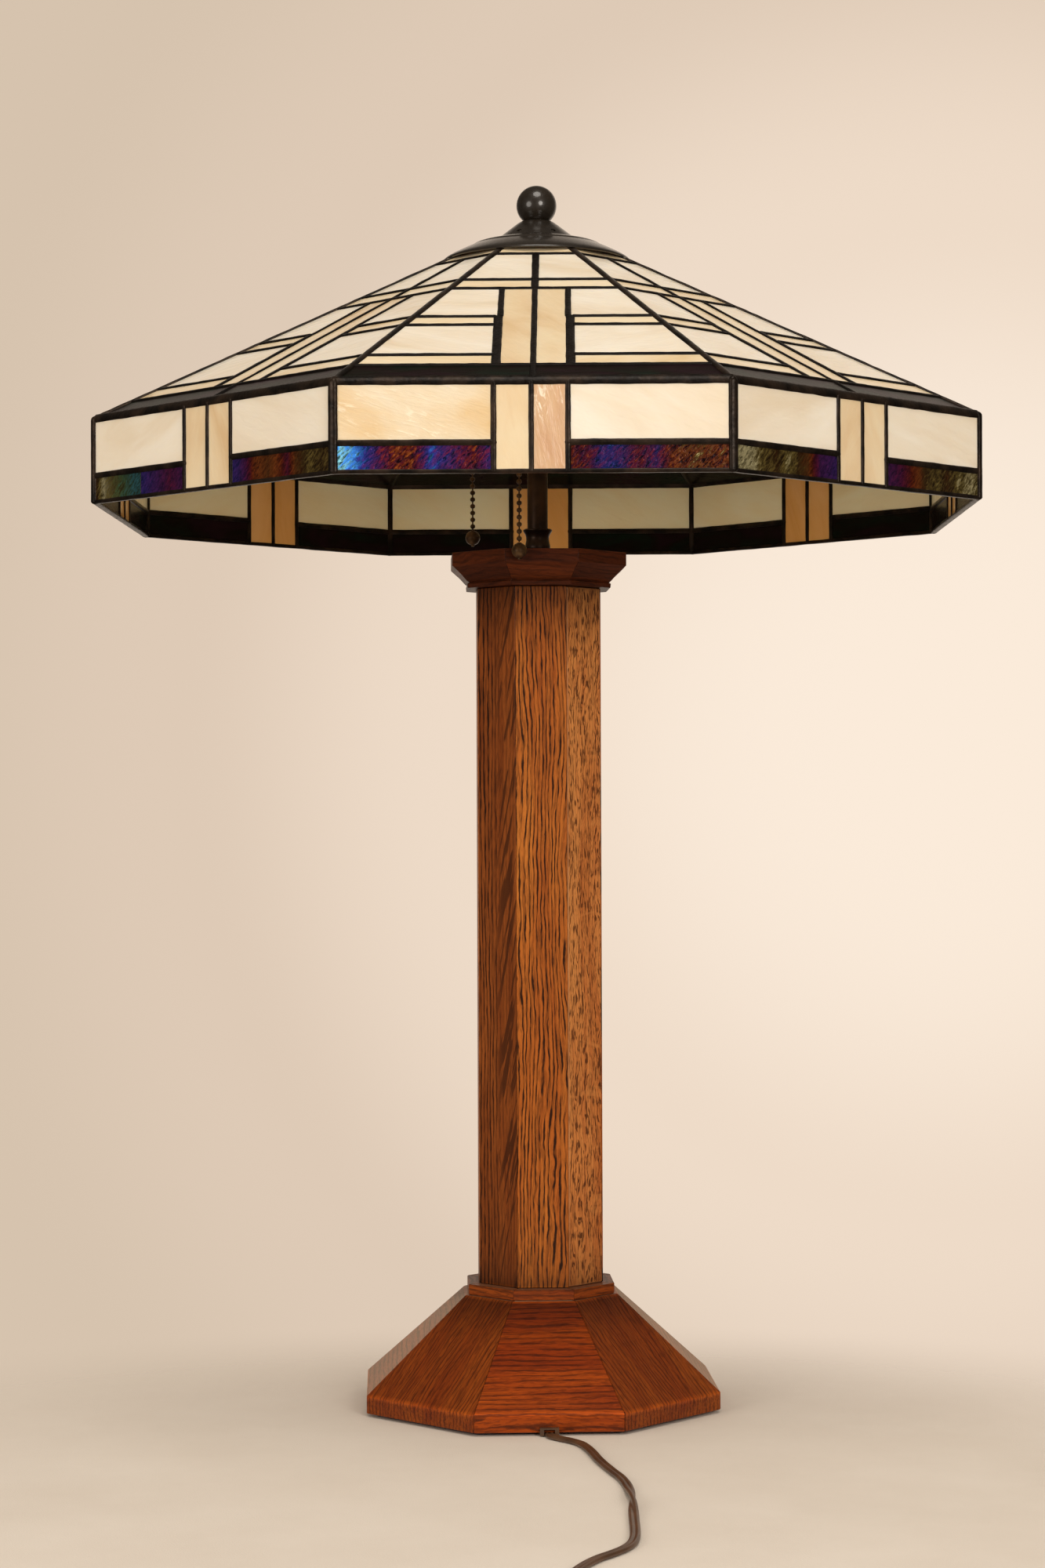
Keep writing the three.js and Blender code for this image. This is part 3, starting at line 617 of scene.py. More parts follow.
def build_cord():
    route = [Vector((x, y, CORD["lift"] + CORD["thickness"] / 2)) for x, y in CORD_ROUTE]
    line = catmull(route[:-1] + coil_points(), 4)
    twisted = []
    for point in line:
        share = min(1.0, max(0.0, (TWIST_START - point.y) / (TWIST_START - TWIST_END)))
        turn = math.pi * share * share * (3 - 2 * share)
        rise = CORD["thickness"] / 2 * math.sin(turn)
        twisted.append((point + Vector((0, 0, rise)), turn))
    sections = []
    for i, (point, turn) in enumerate(twisted):
        before, after = twisted[max(i - 1, 0)][0], twisted[min(i + 1, len(twisted) - 1)][0]
        heading = (after - before).normalized()
        side = heading.cross(Vector((0, 0, 1))).normalized()
        sections.append(cord_section(turn, side, side.cross(heading), point))
    builder = Builder()
    sweep(builder, sections)
    made = builder.object("flat_lead", [MAT["plastic"]])
    lead = piece(made, "stand", "cord_plastic", "cord", "cord_coil", sharp=50)
    path = [tuple(point * MM) for point, _ in twisted]
    length = sum((Vector(a) - Vector(b)).length for a, b in zip(path, path[1:]))
    return lead, path, length


# The plug's outline, as shares of its (length, half width, half height).
PLUG_OUTLINE = [
    (0.0, 0.34, 0.34), (0.02, 0.42, 0.40), (0.12, 0.46, 0.42), (0.2, 0.62, 0.6), (0.32, 0.84, 0.82),
    (0.42, 0.9, 0.9), (0.5, 0.84, 0.86), (0.62, 0.84, 0.86), (0.72, 0.93, 0.93), (0.8, 0.99, 0.99),
    (0.97, 1.0, 1.0), (1.0, 0.95, 0.93),
]
# A blade's outline, as shares of its length and half height from its middle, and its hole.
BLADE_OUTLINE = [(-0.5, -1), (0.32, -1), (0.5, -0.62), (0.5, 0.62), (0.32, 1), (-0.5, 1)]
BLADE_HOLE, BLADE_HOLE_IN = 1.6, 4.2


def build_plug():
    """A two-pin plug with a waist, finger ridges and a strain relief, and its two blades."""
    lo, hi = low("plug_body"), high("plug_body")
    centre = (lo + hi) / 2
    length, half_width, half_height = hi.x - lo.x, (hi.y - lo.y) / 2, (hi.z - lo.z) / 2
    sections = []
    for share, wide, tall in PLUG_OUTLINE:
        section = []
        for i in range(32):
            angle = 2 * math.pi * i / 32
            c, s = math.cos(angle), math.sin(angle)
            y = math.copysign(abs(c) ** 0.5, c) * half_width * wide
            z = math.copysign(abs(s) ** 0.5, s) * half_height * tall
            section.append(Vector((lo.x + share * length, centre.y + y, centre.z + z)))
        sections.append(section)
    builder = Builder()
    sweep(builder, sections)
    for share in (0.5, 0.56, 0.62):
        for side in (-1, 1):
            spot = Vector((lo.x + share * length, centre.y + side * half_width * 0.83, centre.z))
            ball(builder, spot, (0.5, 0.55, half_height * 0.6))
    body = piece(builder.object("plug", [MAT["plastic"]]), "stand", "cord_plastic", "plug_body", sharp=40)
    return [body, build_blade(1), build_blade(2)]


def build_blade(number):
    """One flat brass blade with a round hole near its end."""
    name = f"plug_blade_{number}"
    lo, hi = low(name), high(name)
    middle = (lo + hi) / 2
    length, half = hi.x - lo.x, (hi.z - lo.z) / 2
    angles = [2 * math.pi * i / 16 for i in range(16)]
    mesh = bmesh.new()
    sides = []
    for y in (lo.y, hi.y):
        outline = [Vector((middle.x + u * length, y, middle.z + v * half)) for u, v in BLADE_OUTLINE]
        hole = Vector((hi.x - BLADE_HOLE_IN, y, middle.z))
        rim = [hole + BLADE_HOLE * Vector((math.cos(a), 0, math.sin(a))) for a in angles]
        rings = [[mesh.verts.new(point * MM) for point in ring] for ring in (outline, rim)]
        edges = [mesh.edges.new(pair) for ring in rings for pair in zip(ring, ring[1:] + ring[:1])]
        bmesh.ops.triangle_fill(mesh, use_beauty=True, edges=edges)
        sides.append(rings)
    for ring_a, ring_b in zip(*sides):
        for i in range(len(ring_a)):
            k = (i + 1) % len(ring_a)
            mesh.faces.new((ring_a[i], ring_a[k], ring_b[k], ring_b[i]))
    bmesh.ops.recalc_face_normals(mesh, faces=mesh.faces)
    data = bpy.data.meshes.new(f"blade_{number}")
    mesh.to_mesh(data)
    mesh.free()
    data.materials.append(MAT["blade"])
    blade = bpy.data.objects.new(f"blade_{number}", data)
    bpy.context.collection.objects.link(blade)
    return piece(blade, "stand", "blade_brass", name)


WIRE_CORNERS = ((-0.3, -0.3), (0.3, -0.3), (0.3, 0.3), (-0.3, 0.3))


def build_tie():
    """A flat wire tie round the coil's turns, twisted together on top."""
    angle = math.radians(48)
    outward = Vector((math.cos(angle), math.sin(angle), 0))
    along = Vector((-outward.y, outward.x, 0))
    middle = COIL_CENTRE + outward * COIL_RADII[1]
    half, top = 9.9, COIL_LIFT + 2.1 * CORD["thickness"] + 0.1
    builder = Builder()
    sections = []
    for step in range(24):
        a = 2 * math.pi * step / 24
        x = math.copysign(abs(math.cos(a)) ** 0.4, math.cos(a))
        z = math.copysign(abs(math.sin(a)) ** 0.4, math.sin(a))
        section = []
        for width, thick in ((-1.4, 0), (1.4, 0), (1.4, 0.35), (-1.4, 0.35)):
            height = (top + 0.5) / 2 + z * ((top - 0.5) / 2 + thick)
            spot = outward * (x * (half + thick)) + Vector((0, 0, height))
            section.append(middle + spot + along * width)
        sections.append(section)
    verts = [point for section in sections for point in section]
    builder.add(verts, ring_faces(24, 4, True))
    for side in (-1, 1):
        tail = []
        for step in range(13):
            share = step / 12
            wind = share * 4 * math.pi + math.pi / 2 * side
            core = middle + Vector((0, 0, top + 0.75)) + outward * (share * 11)
            spot = core + (along * math.cos(wind) + Vector((0, 0, math.sin(wind)))) * 0.4
            tail.append([spot + along * u + Vector((0, 0, w)) for u, w in WIRE_CORNERS])
        sweep(builder, tail)
    return piece(builder.object("coil_tie", [MAT["plastic"]]), "stand", "cord_plastic", sharp=40)


lead, lead_path, lead_length = build_cord()
plug_pieces = [*build_plug(), build_tie()]


# ---------------------------------------------------------------- oak
def bevelled(obj, width, worn=False):
    """Applies a small bevel to every hard edge, in the second material where the edge is worn."""
    modifier = obj.modifiers.new("edges", "BEVEL")
    modifier.width, modifier.segments = width * MM, 2
    modifier.material = 1 if worn else -1
    modifier.limit_method, modifier.angle_limit = "ANGLE", math.radians(25)
    modifier.harden_normals = True
    graph = bpy.context.evaluated_depsgraph_get()
    mesh = bpy.data.meshes.new_from_object(obj.evaluated_get(graph))
    old = obj.data
    obj.modifiers.clear()
    obj.data = mesh
    bpy.data.meshes.remove(old)
    return obj


def set_grain(obj, rule):
    """Writes each vertex's grain coordinates, as a function of its place in millimetres."""
    layer = obj.data.attributes.get("grain") or obj.data.attributes.new("grain", "FLOAT_VECTOR", "POINT")
    values = []
    for vertex in obj.data.vertices:
        values += rule(vertex.co / MM)
    layer.data.foreach_set("vector", values)


def mitred(builder, outline, angle, gap=0.16):
    """One mitred board: an [apothem, z] outline between its mitre planes, facing the angle."""
    turn = Matrix.Rotation(angle, 3, "Z")
    sections = []
    for side in (-1, 1):
        sections.append([turn @ Vector((a, side * (a * HALF_SIDE - gap / 2), z)) for a, z in outline])
    sweep(builder, sections)


def board_angle(i):
    return WOOD_TURN + i * TURN - math.pi / 2


def boards(prefix, node_prefix, outline, materials, rule, slot, bevel, worn):
    """Eight mitred boards, each with its own grain. worn lists the boards whose edges are worn pale."""
    for i in range(SIDES):
        builder = Builder()
        angle = board_angle(i)
        mitred(builder, outline, angle)
        obj = builder.object(f"{prefix}_{i + 1}", [MAT[materials[i % len(materials)]], MAT["worn"]])
        bevelled(obj, bevel * (2.4 if i in worn else 1), i in worn)
        back = Matrix.Rotation(-angle, 3, "Z")
        set_grain(obj, lambda place: rule(back @ place, i))
        piece(obj, "stand", slot, f"{node_prefix}_{i + 1}")


def build_column():
    bottom, top = low("column_stave_1").z, high("column_stave_1").z
    outer, inner = COLUMN_APOTHEM, COLUMN_APOTHEM - STAVE_THICKNESS
    outline = [(inner, bottom), (outer, bottom), (outer, top), (inner, top)]
    # The front-left and back-right staves take the copy in painted shade, the front-right and back-left the
    # copy in painted light.
    kinds = ["column_plain", "column_quartered_in_painted_light", "column_plain", "column_cathedral_in_painted_shade",
             "column_plain", "column_quartered_in_painted_light", "column_plain", "column_cathedral_in_painted_shade"]
    boards("oak_stave", "column_stave", outline, kinds,
           lambda p, i: (p.z + i * 611, p.y, p.x + i * 337), "oak_column", 0.5, [1])


def build_base():
    apothem, bottom = BASE["apothem"], low("base_board_2").z
    band_top, top_apothem, top = BASE["band"], BASE["top_apothem"], high("base_board_2").z
    rise = (top - band_top) / (apothem - top_apothem)
    inner = BASE["board"] / math.sin(math.atan(rise))
    outline = [(apothem - inner + (band_top - bottom) / rise, bottom), (apothem, bottom), (apothem, band_top),
               (top_apothem, top), (top_apothem - inner, top)]
    slant = math.atan(rise)

    def rule(p, i):
        up_slope = (apothem - p.x) * math.cos(slant) + p.z * math.sin(slant)
        depth = p.x * math.sin(slant) + p.z * math.cos(slant) + i * 323
        if i % 2:
            return (up_slope + i * 457, p.y, depth)
        return (p.y + i * 457, up_slope, depth)

    boards("oak_base_board", "base_board", outline, ["base", "rail"], rule, "oak_base", 0.6, [])


def joined_boards(name, outline, material, slot, bevel, *nodes):
    """A moulded octagon of eight mitred lengths, glued up as one piece."""
    builder = Builder()
    for i in range(SIDES):
        mitred(builder, outline, board_angle(i), 0.1)
    obj = builder.object(name, [MAT[material]])
    bevelled(obj, bevel)

    def rule(place):
        angle = math.atan2(place.y, place.x) - board_angle(0)
        i = round(angle / TURN) % SIDES
        p = Matrix.Rotation(-board_angle(i), 3, "Z") @ place
        return (p.y + i * 311, p.z * 0.9 + p.x * 0.5 + i * 41, p.x * 0.5 + i * 17)

    set_grain(obj, rule)
    return piece(obj, "stand", slot, *nodes)


def build_mouldings():
    bottom, top = low("base_plinth").z, high("base_plinth").z
    outline = [(6, bottom), (48, bottom), (48, top), (6, top)]
    joined_boards("oak_plinth", outline, "rail", "oak_base", 0.5, "base_plinth")
    bottom, top = low("column_cap").z, high("column_cap").z
    outline = [(6, bottom), (47.2, bottom), (47.5, bottom + 2.8), (46.3, bottom + 3.2), (46.3, bottom + 3.9),
               (47.7, bottom + 4.6), (51.6, bottom + 9.0), (57.4, bottom + 14.4), (57.4, top), (6, top)]
    joined_boards("oak_cap", outline, "cap", "oak_base", 0.45, "column_cap")


build_column()
build_base()
build_mouldings()


# ---------------------------------------------------------------- leaded shade
def side_frame(i, roof):
    """Matrix from panel coordinates (across, up, out) to the lamp's, for side i."""
    if roof:
        up = Vector((0, math.cos(PITCH), math.sin(PITCH)))
        out = Vector((0, -math.sin(PITCH), math.cos(PITCH)))
        origin = Vector((0, -SHADE_APOTHEM, EAVE_Z))
    else:
        up, out = Vector((0, 0, 1)), Vector((0, -1, 0))
        origin = Vector((0, -SHADE_APOTHEM, RIM_Z))
    local = Matrix((Vector((1, 0, 0)), up, out)).transposed().to_4x4()
    return Matrix.Rotation(i * TURN, 4, "Z") @ Matrix.Translation(origin) @ local


def roof_half(s):
    """Half the roof panel's width at s up the slope."""
    return (SHADE_APOTHEM - s * math.cos(PITCH)) * HALF_SIDE


SKIRT_HALF = SHADE_APOTHEM * HALF_SIDE
SKIRT_HEIGHT = EAVE_Z - RIM_Z
FOIL = 0.45  # from a lead line to the edge of the glass under it
BEAD_RISE = 1.05
SPOT_HEIGHT = GLASS / 2 + BEAD_RISE

# The roof's lead lines, as shares of the slant from the eave to the point where the panels would meet.
T_BAND, T_LOW, T_MID, T_MID_TOP = 0.08, 0.1375, 0.311, 0.3617
T_PAIR, T_HIGH, T_TOP, T_RING = 0.5365, 0.5927, 0.7645, 0.834
PAIR_HALF, FLANK_HALF = 20.6, 24.3
SKIRT_PAIR, SKIRT_STRIP = (-22.4, 0.0, 22.4), 16.45
SKIRT_PAIR_FRONT = (-22.8, -1.0, 20.2)
GLASS_KINDS = ["cream", "rippled", "strip", "honey", "pink", "film", "film_deep", "film_calm", "black",
               "cream_painted_glow", "honey_painted_glow"]
# The face each glass shows inside the shade: the opal ones in their copies with painted glow.
INSIDE = {"cream": "cream_painted_glow", "rippled": "cream_painted_glow", "strip": "cream_painted_glow",
          "honey": "honey_painted_glow", "pink": "honey_painted_glow", "black": "black"}

# The film's hue along the dark panes in front, as (share of the width, hue), left to right from outside.
FILM_STOPS = {
    (0, -1): [(0, 0.0), (0.12, 0.12), (0.25, 0.34), (0.38, 0.55), (0.48, 0.58), (0.6, 0.2), (0.74, 0.34),
              (0.88, 0.52), (1, 0.26)],
    (0, 1): [(0, 0.52), (0.11, 0.46), (0.22, 0.24), (0.33, 0.3), (0.44, 0.46), (0.55, 0.32), (0.64, 0.58),
             (0.77, 0.66), (0.88, 0.64), (1, 0.6)],
    (1, -1): [(0, 0.84), (0.14, 0.84), (0.24, 0.79), (0.38, 0.74), (0.5, 0.81), (0.6, 0.74), (0.7, 0.7),
              (0.76, 0.5), (0.82, 0.36), (1, 0.3)],
    (1, 1): [(0, 0.36), (0.16, 0.42), (0.28, 0.58), (0.4, 0.73), (0.55, 0.78), (0.66, 0.73), (0.78, 0.8),
             (0.9, 0.82), (1, 0.81)],
    (7, -1): [(0, 0.72), (0.12, 0.88), (0.28, 0.94), (0.48, 1.0), (0.52, 1.0), (0.525, 0.27), (0.68, 0.32),
              (0.84, 0.42), (1, 0.36)],
    (7, 1): [(0, 0.27), (0.08, 0.3), (0.16, 0.4), (0.24, 0.62), (0.38, 0.7), (0.5, 0.6), (0.58, 0.46),
             (0.66, 0.7), (0.8, 0.77), (1, 0.75)],
}
FILM_KINDS = {(0, -1): "film", (0, 1): "film_deep"}


def pane(builder, place, corners, kind, rng):
    """One piece of glass, with its own direction of streaks."""
    count = len(corners)
    verts = [place @ Vector((u, s, n * GLASS / 2)) for n in (-1, 1) for u, s in corners]
    faces = [tuple(range(count, 2 * count))]
    faces += [(i, (i + 1) % count, count + (i + 1) % count, count + i) for i in range(count)]
    angle = rng.uniform(-0.5, 0.5) + (math.pi / 2 if kind in ("honey", "pink") else 0)
    shift = Vector((rng.uniform(0, 900), rng.uniform(0, 900), rng.uniform(0, 900)))
    turn = Matrix.Rotation(angle, 3, "Z")
    notes = [tuple(turn @ Vector((u, s, n * GLASS / 2)) + shift) for n in (-1, 1) for u, s in corners]
    builder.add(verts, faces, GLASS_KINDS.index(kind), notes)
    # The inner face, in its copy with painted glow where the glass is opal.
    builder.add([], [tuple(-1 - count - i for i in range(count))], GLASS_KINDS.index(INSIDE[kind]))


def film_pane(builder, place, u0, u1, s0, s1, stops, kind, rng):
    """A dark pane with the film on its outer face. Its stops are (share of the width, hue)."""
    count = len(stops)
    us = [u0 + (u1 - u0) * share for share, _ in stops]
    rows = [(s0, GLASS / 2), (s1, GLASS / 2), (s1, -GLASS / 2), (s0, -GLASS / 2)]
    verts = [place @ Vector((u, s, n)) for s, n in rows for u in us]
    shift_u, shift_s = rng.uniform(0, 900), rng.uniform(0, 900)
    notes = [(u + shift_u, s + shift_s, hue) for s, n in rows for u, (_, hue) in zip(us, stops)]
    outer = [(k, k + 1, count + k + 1, count + k) for k in range(count - 1)]
    hidden = []
    for row in range(1, 4):
        a, b = row * count, (row + 1) % 4 * count
        hidden += [(a + k, a + k + 1, b + k + 1, b + k) for k in range(count - 1)]
    last = count - 1
    hidden += [(0, count, 2 * count, 3 * count), (3 * count + last, 2 * count + last, count + last, last)]
    builder.add(verts, outer, GLASS_KINDS.index(kind), notes)
    builder.add([], [tuple(i - len(verts) for i in face) for face in hidden], GLASS_KINDS.index("black"))


def inset(corners, by=FOIL):
    """The corners moved inwards by the foil's share."""
    middle = sum((Vector(c) for c in corners), Vector((0, 0))) / len(corners)
    moved = []
    for corner in corners:
        offset = Vector(corner) - middle
        moved.append(tuple(middle + Vector((math.copysign(abs(offset.x) - by, offset.x),
                                            math.copysign(abs(offset.y) - by, offset.y)))))
    return moved


def bead_section(width, rise, half_glass, points=7):
    """A solder bead's outline, as (across, out), with a rounded seam on each face of the glass."""
    section = []
    for face in (1, -1):
        for i in range(points):
            angle = math.pi * i / (points - 1)
            section.append((math.cos(angle) * width / 2 * face, face * (half_glass + rise * math.sin(angle))))
    return section


def bead(builder, start, end, out, width, rise=BEAD_RISE, half_glass=GLASS / 2 - 0.1, lumps=0.1):
    """A solder bead between two points, uneven along its length as a hand-run seam is."""
    along = (end - start).normalized()
    across = along.cross(out).normalized()
    out = across.cross(along)
    length = (end - start).length
    steps = max(3, round(length / 5))
    outline = bead_section(1, 1, 1)
    sections = []
    for i in range(steps + 1):
        centre = start.lerp(end, i / steps)
        swell = 1 + lumps * noise.noise(centre * 0.11)
        lift = 1 + 2.2 * lumps * noise.noise(centre * 0.16 + Vector((31, 7, 3)))
        drift = across * lumps * 1.6 * noise.noise(centre * 0.08 + Vector((5, 77, 9)))
        section = []
        for u, n in outline:
            height = math.copysign(half_glass + (abs(n) - 1) * rise * lift, n)
            section.append(centre + drift + across * (u * width * swell) + out * height)
        sections.append(section)
    sweep(builder, sections)


def solder_spot(builder, centre, out, radius, height):
    """The wider pool of solder where seams meet."""
    turn = out.to_track_quat("Z", "Y").to_matrix()
    ball(builder, centre, (radius, radius, height), 14, 8, 0, turn)


def roof_panel(i, rng):
    """One sloping panel: its rows of glass, the pair up its middle and the leads between them."""
    place = side_frame(i, True)
    glass, lead_work = Builder(), Builder()

    def at(u, s):
        return place @ Vector((u, s, 0))

    out = (place.to_3x3() @ Vector((0, 0, 1))).normalized()

    def row(t0, t1, inner, kind):
        s0, s1 = t0 * ROOF_SLANT, t1 * ROOF_SLANT
        for side in (-1, 1):
            corners = [(inner, s0), (roof_half(s0) - 1.2, s0), (roof_half(s1) - 1.2, s1), (inner, s1)]
            corners = inset(corners)
            if side < 0:
                corners = [(-u, s) for u, s in reversed(corners)]
            pane(glass, place, corners, kind, rng)

    row(0.008, T_BAND, 0, "black")
    row(T_BAND, T_LOW, FLANK_HALF - 1.2, "strip")
    row(T_LOW, T_MID, FLANK_HALF - 1.2, "cream")
    row(T_MID, T_MID_TOP, FLANK_HALF - 1.2, "strip")
    row(T_MID_TOP, T_PAIR, PAIR_HALF, "cream")
    row(T_PAIR, T_HIGH, 0, "strip")
    row(T_HIGH, T_TOP, 0, "cream")
    s0, s1 = T_TOP * ROOF_SLANT, (T_RING - 0.006) * ROOF_SLANT
    pane(glass, place, inset([(-roof_half(s0) + 1.2, s0), (roof_half(s0) - 1.2, s0),
                              (roof_half(s1) - 1.2, s1), (-roof_half(s1) + 1.2, s1)]), "strip", rng)
    s0, s1 = T_BAND * ROOF_SLANT, T_PAIR * ROOF_SLANT
    for side in (0, 1):
        inner, outer = (-PAIR_HALF, 0) if side == 0 else (0, PAIR_HALF)
        pane(glass, place, inset([(inner, s0), (outer, s0), (outer, s1), (inner, s1)]), "honey", rng)

    def level(t, inner, width=4.3):
        s = t * ROOF_SLANT
        reach = roof_half(s) - 0.5
        if inner == 0:
            bead(lead_work, at(-reach, s), at(reach, s), out, width)
            ends = [(-reach, s), (reach, s), (0, s)]
        else:
            ends = []
            for side in (-1, 1):
                bead(lead_work, at(side * inner, s), at(side * reach, s), out, width)
                ends += [(side * inner, s), (side * reach, s)]
        for u, v in ends:
            solder_spot(lead_work, at(u, v), out, width * 0.6, SPOT_HEIGHT)

    def upright(u, t0, t1, width):
        for side in ((-1, 1) if u else (1,)):
            bead(lead_work, at(side * u, t0 * ROOF_SLANT), at(side * u, t1 * ROOF_SLANT), out, width)

    level(T_BAND, 0, 3.7)
    for t in (T_LOW, T_MID, T_MID_TOP):
        level(t, FLANK_HALF)
    level(T_PAIR, 0)
    level(T_HIGH, 0)
    level(T_TOP, 0)
    upright(0, 0.004, T_PAIR, 3.8)
    upright(0, T_PAIR, T_TOP, 4.8)
    upright(PAIR_HALF, T_MID_TOP, T_PAIR, 3.9)
    upright((PAIR_HALF + FLANK_HALF) / 2 - 0.6, T_BAND, T_MID_TOP, 5.8)

    node_name = f"roof_panel_{i + 1}"
    panes = glass.object(f"roof_glass_{i + 1}", [MAT[k] for k in GLASS_KINDS], False)
    piece(panes, "shade", "roof_glass", node_name)
    piece(lead_work.object(f"roof_lead_{i + 1}", [MAT["roof_lead"]]), "shade", "came", node_name, sharp=60)


def skirt_panel(i, rng):
    """One upright panel: cream over a dark strip on each side of a honey pair."""
    place = side_frame(i, False)
    glass, lead_work = Builder(), Builder()

    def at(u, s):
        return place @ Vector((u, s, 0))

    out = (place.to_3x3() @ Vector((0, 0, 1))).normalized()
    top, bottom, reach = SKIRT_HEIGHT - 0.4, 0.4, SKIRT_HALF - 1.4
    left, middle, right = SKIRT_PAIR_FRONT if i == 0 else SKIRT_PAIR
    for side, u0, u1, pair in ((-1, -reach, left, (left, middle)), (1, right, reach, (middle, right))):
        rippled = (i, side) == (0, -1) or (1 < i < 7 and rng.random() < 0.15)
        pane(glass, place, inset([(u0, SKIRT_STRIP), (u1, SKIRT_STRIP), (u1, top), (u0, top)]),
             "rippled" if rippled else "cream", rng)
        hue = rng.uniform(0.1, 0.9)
        walk = [(k / 6, min(1.0, max(0.0, hue + rng.uniform(-0.25, 0.25)))) for k in range(7)]
        film_pane(glass, place, u0 + FOIL, u1 - FOIL, bottom + FOIL, SKIRT_STRIP - FOIL,
                  FILM_STOPS.get((i, side), walk), FILM_KINDS.get((i, side), "film_calm"), rng)
        kind = "pink" if (i, side) == (0, 1) or (1 < i < 7 and rng.random() < 0.12) else "honey"
        near, far = pair
        pane(glass, place, inset([(near, bottom), (far, bottom), (far, top), (near, top)]), kind, rng)
        edge, corner = (left, u0) if side < 0 else (right, u1)
        bead(lead_work, at(edge, SKIRT_STRIP), at(corner, SKIRT_STRIP), out, 3.8)
        bead(lead_work, at(edge, 0), at(edge, SKIRT_HEIGHT), out, 3.4)
        for u, s, r in ((edge, SKIRT_STRIP, 2.5), (edge, 0.8, 2.0), (edge, SKIRT_HEIGHT - 0.8, 2.3),
                        (corner, SKIRT_STRIP, 2.4)):
            solder_spot(lead_work, at(u, s), out, r, SPOT_HEIGHT)
    bead(lead_work, at(middle, 0), at(middle, SKIRT_HEIGHT), out, 3.2)
    for s in (0.8, SKIRT_HEIGHT - 0.8):
        solder_spot(lead_work, at(middle, s), out, 2.0, SPOT_HEIGHT)
    node_name = f"skirt_panel_{i + 1}"
    panes = glass.object(f"skirt_glass_{i + 1}", [MAT[k] for k in GLASS_KINDS], False)
    piece(panes, "shade", "skirt_glass", node_name)
    piece(lead_work.object(f"skirt_lead_{i + 1}", [MAT["lead"]]), "shade", "came", node_name, sharp=60)


def shade_corner(apothem, z, i):
    angle = i * TURN - math.pi / 2 + TURN / 2
    return Vector((apothem * TO_CORNER * math.cos(angle), apothem * TO_CORNER * math.sin(angle), z))


def build_shade_beads():
    """The heavy solder on the hips, corners, eave, rim and top ring."""
    builder = Builder()
    ring_z = EAVE_Z + (SHADE_APOTHEM - RING_APOTHEM) * ROOF_SLOPE
    for i in range(SIDES):
        eave, eave_next = shade_corner(SHADE_APOTHEM, EAVE_Z, i), shade_corner(SHADE_APOTHEM, EAVE_Z, i + 1)
        rim, rim_next = shade_corner(SHADE_APOTHEM, RIM_Z, i), shade_corner(SHADE_APOTHEM, RIM_Z, i + 1)
        ring, ring_next = shade_corner(RING_APOTHEM, ring_z, i), shade_corner(RING_APOTHEM, ring_z, i + 1)
        radial = Vector((eave.x, eave.y, 0)).normalized()
        outward = Vector((eave.x + eave_next.x, eave.y + eave_next.y, 0)).normalized()
        up = Vector((0, 0, 1))
        hip = (ring - eave).normalized()
        hip_out = (up - hip * up.dot(hip)).normalized()
        under_cap = ring.lerp(eave, 0.055)
        bead(builder, eave + hip * 1.5, under_cap, hip_out, 4.8, 1.2, 1.45)
        bead(builder, under_cap, ring, hip_out, 4.8, 0.3, 1.45)
        bead(builder, rim, eave, radial, 5.6, 1.35, 1.5, 0.07)
        shift = up * math.sin(PITCH) - outward * math.cos(PITCH)
        bead(builder, eave + shift, eave_next + shift, outward * 0.856 + up * 0.517, 6.4, 1.3, 1.3, 0.09)
        bead(builder, rim, rim_next, outward, 2.5, 0.7, 1.3, 0.09)
        bead(builder, ring, ring_next, up, 3.6, 0.5, 1.2)
        for centre, direction, radii in ((eave, radial, (2.9, 2.9, 2.9)), (rim, radial, (2.8, 1.5, 2.7))):
            turn = direction.to_track_quat("Z", "Y").to_matrix()
            ball(builder, centre, radii, 14, 10, 0, turn)
    piece(builder.object("shade_solder", [MAT["lead"]]), "shade", "came", "shade_came", sharp=60)


glass_rng = random.Random(11)
for side_number in range(SIDES):
    roof_panel(side_number, glass_rng)
    skirt_panel(side_number, glass_rng)
build_shade_beads()


# ---------------------------------------------------------------- metalwork
CLUSTER_ANGLE = math.radians(106.7)
HOLDER_OUT, SPOUT_OUT, BULB_OUT = 24, 58.1, 41  # from the stem's axis, along an arm
BEAD_PITCH = 4.6
STEM_BORE, STEM_RADIUS = 5.3, 6.8
FINIAL_RADIUS = 13.4


def turned_piece(name, profile, material, body, slot, *nodes, segments=64, place=Matrix(), closed=False,
                 sharp=35):
    builder = Builder()
    lathe(builder, profile, segments, place, 0, closed)
    return piece(builder.object(name, [MAT[material]]), body, slot, *nodes, sharp=sharp)


# The spun cap's faces, as [radius, height] from rim to top and back, and its ring of vents.
CAP_TOP = 785.3
CAP_OUTER = [
    (61.4, 757.2), (62.5, 757.3), (62.8, 758.0), (62.0, 759.0), (59.4, 760.7), (55, 763.0), (50, 765.4),
    (45.6, 767.3), (44.0, 768.0), (43.2, 768.8), (41.5, 769.6), (36, 771.0), (30.5, 772.1), (26.6, 773.0),
    (25.4, 773.9), (21, 777.4), (16, 781.3), (12.6, 783.9), (10.6, 785.1), (8.6, 785.3),
]
CAP_INNER = [
    (5.4, 785.3), (5.4, 784.2), (8.6, 784.1), (10.6, 783.3), (14.8, 779.9), (19.8, 776.0), (24.2, 772.3),
    (26.4, 771.6), (30.5, 770.8), (36, 769.7), (41.5, 768.2), (43.8, 766.7), (49.4, 764.2), (54.4, 761.8),
    (58.6, 759.6), (61, 758.0),
]
VENT = {"count": 6, "radius": 1.7, "out": 22.6, "z": 776.1, "tilt": 0.66}


